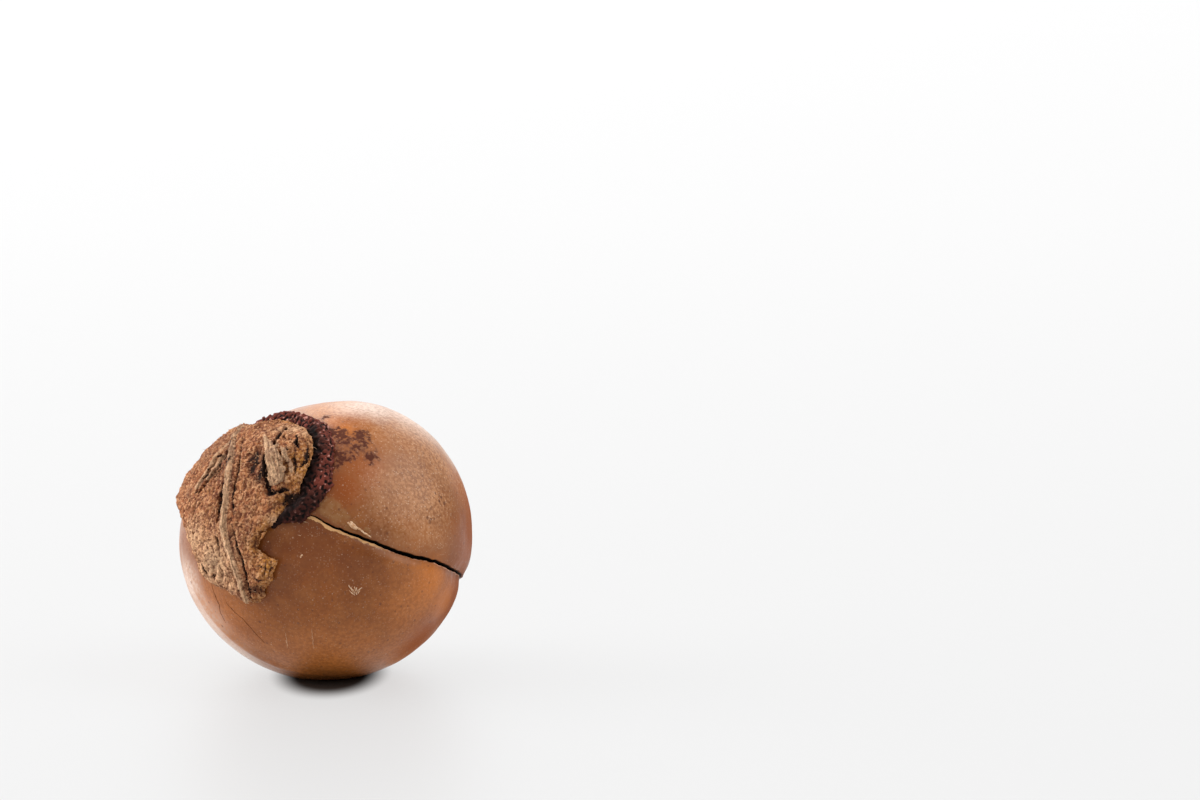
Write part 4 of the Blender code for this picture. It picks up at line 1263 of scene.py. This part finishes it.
def scrap_mesh():
    """The torn sheet with its crevices, fused with its strands and its splinters, and then roughened."""
    points, quads = skin_of("sheet", [slab(torn(SCRAP_OUTLINE, SCRAP_RAGGED, seed=8.0))], VOXEL)
    spots = points[:, :2]
    cut, sunk = scrap_cuts(spots)
    low = scrap_base(spots) - scrap_top(spots)
    high = np.maximum(scrap_base(spots) - cut - sunk, low + SCRAP_THINNEST)
    points[:, 2] = low + (high - low) * np.clip(points[:, 2], 0, 1)
    strands = [strand for number, row in enumerate(BUNDLES) for strand in bundle(*row, seed=60.0 + 9 * number)]
    bodies = [(points, quads), strand_bodies(strands)] + [splinter(*row) for row in SPLINTERS]
    points, quads = skin_of("scrap", bodies, VOXEL)
    spots = points[:, :2]
    across = vein_side(spots)
    off_flap, along_flap = route_distance(spots, SPLINTERS[0][0])
    on_flap = 1 - eased(off_flap, *FLAP_EDGE)
    flow = np.column_stack((across, spots[:, 1], points[:, 2]))
    flap_flow = np.column_stack((spots @ FLAP_ACROSS, FLAP_LENGTH * along_flap, points[:, 2]))
    flow += on_flap[:, None] * (flap_flow - flow)
    (pitch, stretch), size = FIBRES
    streaks = 0.4 - 2 * np.abs(noisy(flow, (pitch, stretch, 1.0), seed=70.0))
    off_vein = route_distance(spots, VEIN)[0]
    woody = np.maximum(1 - eased(off_vein, *VEIN_EDGE), on_flap)
    fibrous = np.clip(0.35 + 0.5 * eased(-across, *LEFT_OF_VEIN) + 0.5 * woody, 0, 1)
    cork, crease = corky(points, CORK, seed=17.0)
    grain = cork * (1 - 0.75 * woody) + rough(points, GRAIN, seed=29.0)
    points = points + outward(points, quads) * (size * streaks * fibrous + grain)[:, None]
    points[:, 2] = np.maximum(points[:, 2], LEAST_GAP)
    tone = scrap_tones(points, across, off_vein, on_flap, flap_flow)
    # The hollows and the creases, which the finish darkens as painted shade.
    pitch, low, high = CREASED
    creased = crease * (1 - woody) * eased(noisy(points[:, :2], pitch, 83.0), low, high)
    hollow = np.clip(hollows(points, quads, rounds=4, full=0.06) + 0.5 * creased, -1, 1)
    return as_mesh("husk_scrap", [(on_ball(points), quads)], tone=tone, hollow=hollow, flow=flow)


def fuzz_tree():
    """Strews bent fibres and crumbs over the scrap's skin where it faces out."""
    tree, given, result = new_tree(
        "fuzz",
        "GeometryNodeTree",
        {
            "Skin": "Geometry",
            "Fibres": FUZZ[0],
            "Shortest": FUZZ[1],
            "Longest": FUZZ[2],
            "Crumbs": CRUMBS[0],
            "Smallest": CRUMBS[1],
            "Largest": CRUMBS[2],
            "Seed": 5,
        },
        {"Fuzzy": "Geometry"},
    )
    out = put(tree, "GeometryNodeInputPosition").vector("NORMALIZE")
    facing = out.vector("DOT_PRODUCT", put(tree, "GeometryNodeInputNormal")).calc("GREATER_THAN", FUZZ_FACING)
    bend = put(tree, "GeometryNodeCurveQuadraticBezier", 4, *FIBRE_BEND)
    fibre = put(tree, "GeometryNodeCurveToMesh", bend, ring(tree, 3, FIBRE_GIRTH))
    crumb = put(tree, "GeometryNodeMeshIcoSphere", 1.0, 1)
    spin = (-FUZZ_LEAN, -FUZZ_LEAN, 0.0), (FUZZ_LEAN, FUZZ_LEAN, math.tau)
    layers = []
    for shape, density, least, most, tone in (
        (fibre, "Fibres", "Shortest", "Longest", FIBRE_TONE),
        (crumb, "Crumbs", "Smallest", "Largest", CRUMB_TONE),
    ):
        sizes = given[least], given[most]
        copies = strewn(given["Skin"], shape, given[density], sizes, given["Seed"], spin, facing, upright=True)
        toned = wire(tree, "GeometryNodeStoreNamedAttribute", copies, None, "tone", data_type="FLOAT_VECTOR")
        toned.inputs["Value"].default_value = tone
        layers.append(Value(tree, toned.outputs[0]))
    joined(*layers, given["Skin"]).to(result[0])
    return tree


FUZZ_TREE = fuzz_tree()


HUSK_RED = linear(162, 82, 40)
HUSK_TAN = linear(212, 148, 96)
HUSK_BROWN = linear(122, 62, 33)
HUSK_PALE = linear(248, 202, 158)
HUSK_OCHRE = linear(196, 132, 48)
HUSK_RUST = linear(150, 70, 34)
HUSK_UMBER = linear(98, 47, 27)
HUSK_SHADE_DARK = linear(78, 35, 24)
HUSK_SHADOW_BLACK = linear(24, 12, 7)


def flake_group():
    """Small torn flakes, each with a tone of its own: its value, and how near the spot is to the gap between two."""
    tree, given, result = new_tree(
        "flakes",
        "ShaderNodeTree",
        {"Spot": "Vector", "Scale": 3000.0, "Bend": 0.0003},
        {"Tone": "Float", "Height": "Float"},
    )
    wobble = wire(tree, "ShaderNodeTexNoise", given["Spot"], None, 2600.0, 4.0, 0.6)
    shift = wire(tree, "ShaderNodeVectorMath", Value(tree, wobble.outputs["Color"]), operation="SCALE")
    given["Bend"].to(shift.inputs["Scale"])
    flake = wire(tree, "ShaderNodeTexVoronoi", given["Spot"].vector("ADD", Value(tree, shift.outputs[0])))
    given["Scale"].to(flake.inputs["Scale"])
    tone = Value(tree, flake.outputs["Color"]).parts()[0]
    tone.to(result["Tone"])
    (tone - Value(tree, flake.outputs["Distance"])).to(result["Height"])
    return tree


FLAKES = flake_group()
# The wide and the small flakes: how fine, how bent, their share of the colour and their share of the relief.
FLAKE_SIZES = ((2500.0, 0.00022, 0.45, 0.9), (5600.0, 0.00016, 0.75, 0.6))
SHADED_FLAKE = (0.42, 0.05)
LIT_FLAKE = (0.62, 0.95)
# Where a tone or a hollow starts and ends to count, and from what to what its share goes.
CALM_WHERE_PALE = (0.2, 0.9, 1.0, 0.35)
LIT_WHERE_RAISED = (0.5, -0.2, 0.2, 0.85)
STRANDS_WHERE_PALE = (0.6, 1.0, 0.0, 0.5)
DARK_IN_HOLLOWS = (0.1, 0.9, 0.0, 0.6)
BLACK_IN_HOLLOWS = (0.2, 1.0)
BLACK_WHERE_DARK = (0.85, 1.0, 0.0, 0.85)
STREAK_STRETCH = (1.0, 0.22, 0.5)
STRAND_STRETCH = (1.0, 0.08, 0.3)


def scrap_finish():
    made, shader, spot = finish("dry_torn_husk", roughness=0.85, specular=0.3)
    pale, ochre, dark = stored(spot.tree, "tone").parts()
    hollow, flow = stored(spot.tree, "hollow", "Fac"), stored(spot.tree, "flow")

    # The husk's browns, and the tan of its streaks and crumbs
    colour = mix(masked(CLOUD, spot, scale=520.0, detail=5.0, contrast=0.2), HUSK_BROWN, HUSK_RED)
    colour = painted(colour, HUSK_RUST, masked(CLOUD, spot, scale=340.0, detail=3.0, contrast=0.1), most=0.5)
    colour = painted(colour, HUSK_UMBER, masked(CLOUD, spot, scale=1150.0, detail=5.0, contrast=0.10), most=0.65)
    streaks = masked(CLOUD, flow.vector("MULTIPLY", STREAK_STRETCH), scale=3.4, detail=5.0, contrast=0.16)
    colour = painted(colour, HUSK_TAN, streaks, most=0.50)
    crumbs = masked(CLOUD, spot, scale=4200.0, detail=5.0, contrast=0.14)
    colour = painted(colour, HUSK_TAN, crumbs, most=0.35)
    colour = painted(colour, HUSK_OCHRE, ochre * (crumbs * 0.3 + 0.6))
    colour = painted(colour, HUSK_PALE, pale * (crumbs * 0.25 + 0.75))

    # The flakes, each a little darker or paler than the next
    calm = pale.rise(*CALM_WHERE_PALE)
    highlight = mix(pale * 0.6 + 0.4, HUSK_TAN, HUSK_PALE)
    relief = uneven(spot, scale=5200.0, detail=6.0, roughness=0.65)
    for scale, bend, share, height in FLAKE_SIZES:
        flakes = wire(spot.tree, "ShaderNodeGroup", spot, scale, bend, node_tree=FLAKES)
        tone, proud = (Value(spot.tree, socket) for socket in flakes.outputs)
        colour = painted(colour, HUSK_UMBER, tone.rise(*SHADED_FLAKE, 0.0, share) * calm)
        lit = tone.rise(*LIT_FLAKE, 0.0, share) * hollow.rise(*LIT_WHERE_RAISED)
        colour = painted(colour, highlight, lit)
        relief = relief + proud * height

    # The gaps between the vein's strands, and painted shade in the hollows, crevices, recesses and shaded patches
    strands = masked(CLOUD, flow.vector("MULTIPLY", STRAND_STRETCH), scale=6.5, detail=4.0, contrast=0.08)
    strands = strands * pale.rise(*STRANDS_WHERE_PALE)
    colour = painted(colour, HUSK_UMBER, strands)
    colour = painted(colour, HUSK_SHADE_DARK, dark, most=0.8)
    colour = painted(colour, HUSK_SHADE_DARK, hollow.rise(*DARK_IN_HOLLOWS))
    colour = painted(colour, HUSK_SHADOW_BLACK, dark * hollow.rise(*BLACK_IN_HOLLOWS))
    painted(colour, HUSK_SHADOW_BLACK, dark.rise(*BLACK_WHERE_DARK)).to(shader.inputs["Base Color"])
    bumpy(shader, relief + strands * -2.5, strength=0.9, distance=0.0001)
    return made


scrap = shaped("husk_scrap", scrap_mesh(), (FUZZ_TREE, {}), (NUT_FORM, {"Finish": scrap_finish()}))
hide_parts("husk_scrap")
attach(scrap, "root")

# The marks on the shell
# Hair cracks in the polish below the scrap, and small pale scratches, flakes and a fleck, where it was rubbed or
# chipped. They are marks in the shell's own skin, a few hundredths of a millimetre high.
HAIR_CRACKS = (
    ((-4.1, -7.6), (-4.0, -8.1), (-3.8, -8.9), (-3.6, -9.7), (-3.8, -10.6), (-3.6, -11.6)),
    ((-2.5, -9.3), (-1.7, -10.1), (-0.8, -10.8), (0.0, -11.9), (0.9, -13.5)),
)
HAIR_GIRTH = 0.026
# Pale strokes: their routes and how thick they are.
PALE_STROKES = (
    (((3.8, -11.9), (3.7, -12.7), (3.4, -13.8)), 0.020),
    (((6.6, -11.2), (6.5, -12.5), (6.3, -13.8)), 0.018),
    (((4.1, -1.25), (4.6, -1.2), (5.1, -1.1), (5.9, -1.05)), 0.035),
    (((9.4, -0.2), (9.8, -0.45), (10.3, -0.7)), 0.17),
    (((9.6, -0.1), (10.0, -0.35), (10.4, -0.6)), 0.12),
    (((10.0, -0.3), (10.5, -0.6), (11.0, -0.85), (11.7, -1.05)), 0.085),
    (((2.65, -3.35), (2.75, -3.25)), 0.045),
    (((5.8, -4.3), (5.85, -4.1), (5.95, -3.95)), 0.07),
    (((5.4, -2.3), (5.6, -2.35)), 0.03),
)
FLECK = (10.9, -6.6)
FLECK_STROKES = (
    (-0.62, 0.45, -0.30, -0.10), (-0.40, 0.28, -0.18, -0.30), (-0.52, -0.05, -0.22, -0.50), (-0.30, -0.30, 0.05, -0.55),
    (-0.05, 0.35, 0.02, -0.10), (-0.20, 0.10, 0.02, -0.35), (0.15, 0.30, 0.12, -0.15), (0.10, -0.05, 0.22, -0.45),
    (0.30, 0.10, 0.30, -0.25), (0.62, 0.38, 0.35, 0.05), (0.48, 0.05, 0.30, -0.35),
)
FLECK_GIRTH = 0.045
MARK_STEP = 0.08
MARK_WAVER = (2.2, 0.06)


def drawn_on(strokes, seed):
    """Fine strands laid on the shell's skin along routes on the map, each with its girth."""
    strands = []
    for number, (route, girth) in enumerate(strokes):
        spots = resampled(route, MARK_STEP)
        spots = spots + wavered(spots, *MARK_WAVER, seed + number, seed + 30 + number)
        thin = np.sqrt(np.sin(np.pi * np.linspace(0.08, 0.92, len(spots))))
        flat = on_ball(np.column_stack((spots, np.zeros(len(spots)))))
        low = dented(flat / np.linalg.norm(flat, axis=1, keepdims=True))
        thick = girth * thin * (1 + 0.5 * noisy(spots, 5.0, seed + 60 + number))
        strands.append((np.column_stack((spots, low)), thick))
    return strands


def mark_finish(name, dark, light, roughness):
    made, shader, spot = finish(name, roughness, specular=0.2)
    mix(masked(CLOUD, spot, scale=4000.0, detail=3.0, contrast=0.2), dark, light).to(shader.inputs["Base Color"])
    return made


def marks(name, strands, material):
    """One piece of all the marks of a kind."""
    points, faces = strand_bodies(strands, 6)
    made = shaped(name, as_mesh(name, [(on_ball(points), faces)]), (NUT_FORM, {"Finish": material}))
    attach(made, "root")


HAIR_DARK, HAIR_BROWN = linear(70, 34, 18), linear(112, 60, 34)
RUBBED_TAN, RUBBED_PALE = linear(196, 146, 104), linear(232, 200, 168)
dark_marks = mark_finish("hair_crack", HAIR_DARK, HAIR_BROWN, 0.7)
pale_marks = mark_finish("rubbed_pale", RUBBED_TAN, RUBBED_PALE, 0.8)
marks("hair_cracks", drawn_on([(route, HAIR_GIRTH) for route in HAIR_CRACKS], 3.0), dark_marks)
fleck = [(((FLECK[0] + a, FLECK[1] + b), (FLECK[0] + c, FLECK[1] + d)), FLECK_GIRTH) for a, b, c, d in FLECK_STROKES]
marks("pale_flakes", drawn_on(list(PALE_STROKES) + fleck, 8.0), pale_marks)

# The floor, the light and the camera
# A pale, glowing table, with a painted contact shadow where the nut touches it, in a white room under broad, soft
# light.
FLOOR_RADIUS = 4.0
FLOOR_SIDES = 96
FLOOR_PALE = linear(92, 92, 92)
CONTACT_SHADOW_BROWN = linear(60, 54, 50)
GLOW_NEAR = 0.62
GLOW_FAR = 0.64
GLOW_FADE = (0.02, 0.45)
CONTACT_MIDDLE = (0.0004, -0.0012, 0.0)
CONTACT_STRETCH = (2.1, 1.0, 1.0)
CONTACT_EDGE = (0.0064, 0.0120)


def floor_finish():
    made, shader, spot = finish("glowing_table", roughness=0.5, specular=0.15)
    glow = spot.vector("LENGTH").rise(*GLOW_FADE, GLOW_NEAR, GLOW_FAR)
    # Painted contact shadow: round the nut's seat the glow fades and the colour turns brown.
    off = spot.vector("SUBTRACT", CONTACT_MIDDLE).vector("MULTIPLY", CONTACT_STRETCH)
    clear = off.vector("LENGTH").rise(*CONTACT_EDGE)
    lit = glow * clear
    put(spot.tree, "ShaderNodeCombineXYZ", lit, lit, lit).to(shader.inputs["Emission Color"])
    shader.inputs["Emission Strength"].default_value = 1.0
    mix(clear, CONTACT_SHADOW_BROWN, FLOOR_PALE).to(shader.inputs["Base Color"])
    return made


def round_floor():
    edit = bmesh.new()
    bmesh.ops.create_circle(edit, cap_ends=True, segments=FLOOR_SIDES, radius=FLOOR_RADIUS)
    mesh = bpy.data.meshes.new("table")
    edit.to_mesh(mesh)
    edit.free()
    made = bpy.data.objects.new("table", mesh)
    bpy.context.scene.collection.objects.link(made)
    mesh.materials.append(floor_finish())
    return made


round_floor()

# The soft boxes: the way each one lies from the nut, how many degrees wide it looks, and its strength.
SOFT_BOXES = (
    ((-0.92, 0.10, 0.30), 50, 2.0),
    ((0.78, -0.06, 0.62), 52, 1.5),
    ((0.00, -0.80, 0.60), 80, 0.55),
)
for number, (side, width, strength) in enumerate(SOFT_BOXES):
    lamp = bpy.data.lights.new(f"soft_box_{number}", "SUN")
    lamp.angle = math.radians(width)
    lamp.energy = strength
    box = bpy.data.objects.new(f"soft_box_{number}", lamp)
    box.location = side
    box.rotation_euler = Vector(side).to_track_quat("Z", "Y").to_euler()
    bpy.context.scene.collection.objects.link(box)

# The room is bright above, behind and to the left of the nut, and dark towards the camera.
ROOM_BRIGHT_SIDE = (-0.62, 0.62, 0.48)
ROOM_SPAN = (-0.1, 0.9)
ROOM_DARK, ROOM_BRIGHT = 0.2, 1.8
world = bpy.data.worlds.new("white_room")
world.use_nodes = True
room = world.node_tree
look = Value(room, wire(room, "ShaderNodeTexCoord").outputs["Generated"]).vector("NORMALIZE")
brightness = look.vector("DOT_PRODUCT", ROOM_BRIGHT_SIDE).rise(*ROOM_SPAN, ROOM_DARK, ROOM_BRIGHT)
brightness.to(room.nodes["Background"].inputs["Strength"])
room.nodes["Background"].inputs["Color"].default_value = (1, 1, 1, 1)
bpy.context.scene.world = world
bpy.context.scene.view_settings.view_transform = "Standard"

CAMERA_PLACE = (24.58 * MM, -394.11 * MM, 81.42 * MM)
CAMERA_PITCH = 8.2
CAMERA_LENS = 133.78
camera = bpy.data.objects.new("camera", bpy.data.cameras.new("camera"))
camera.location = CAMERA_PLACE
camera.rotation_euler = Euler((math.radians(90 - CAMERA_PITCH), 0, 0))
camera.data.lens = CAMERA_LENS
camera.data.sensor_width = 36
camera.data.clip_end = 10
bpy.context.scene.collection.objects.link(camera)
bpy.context.scene.camera = camera
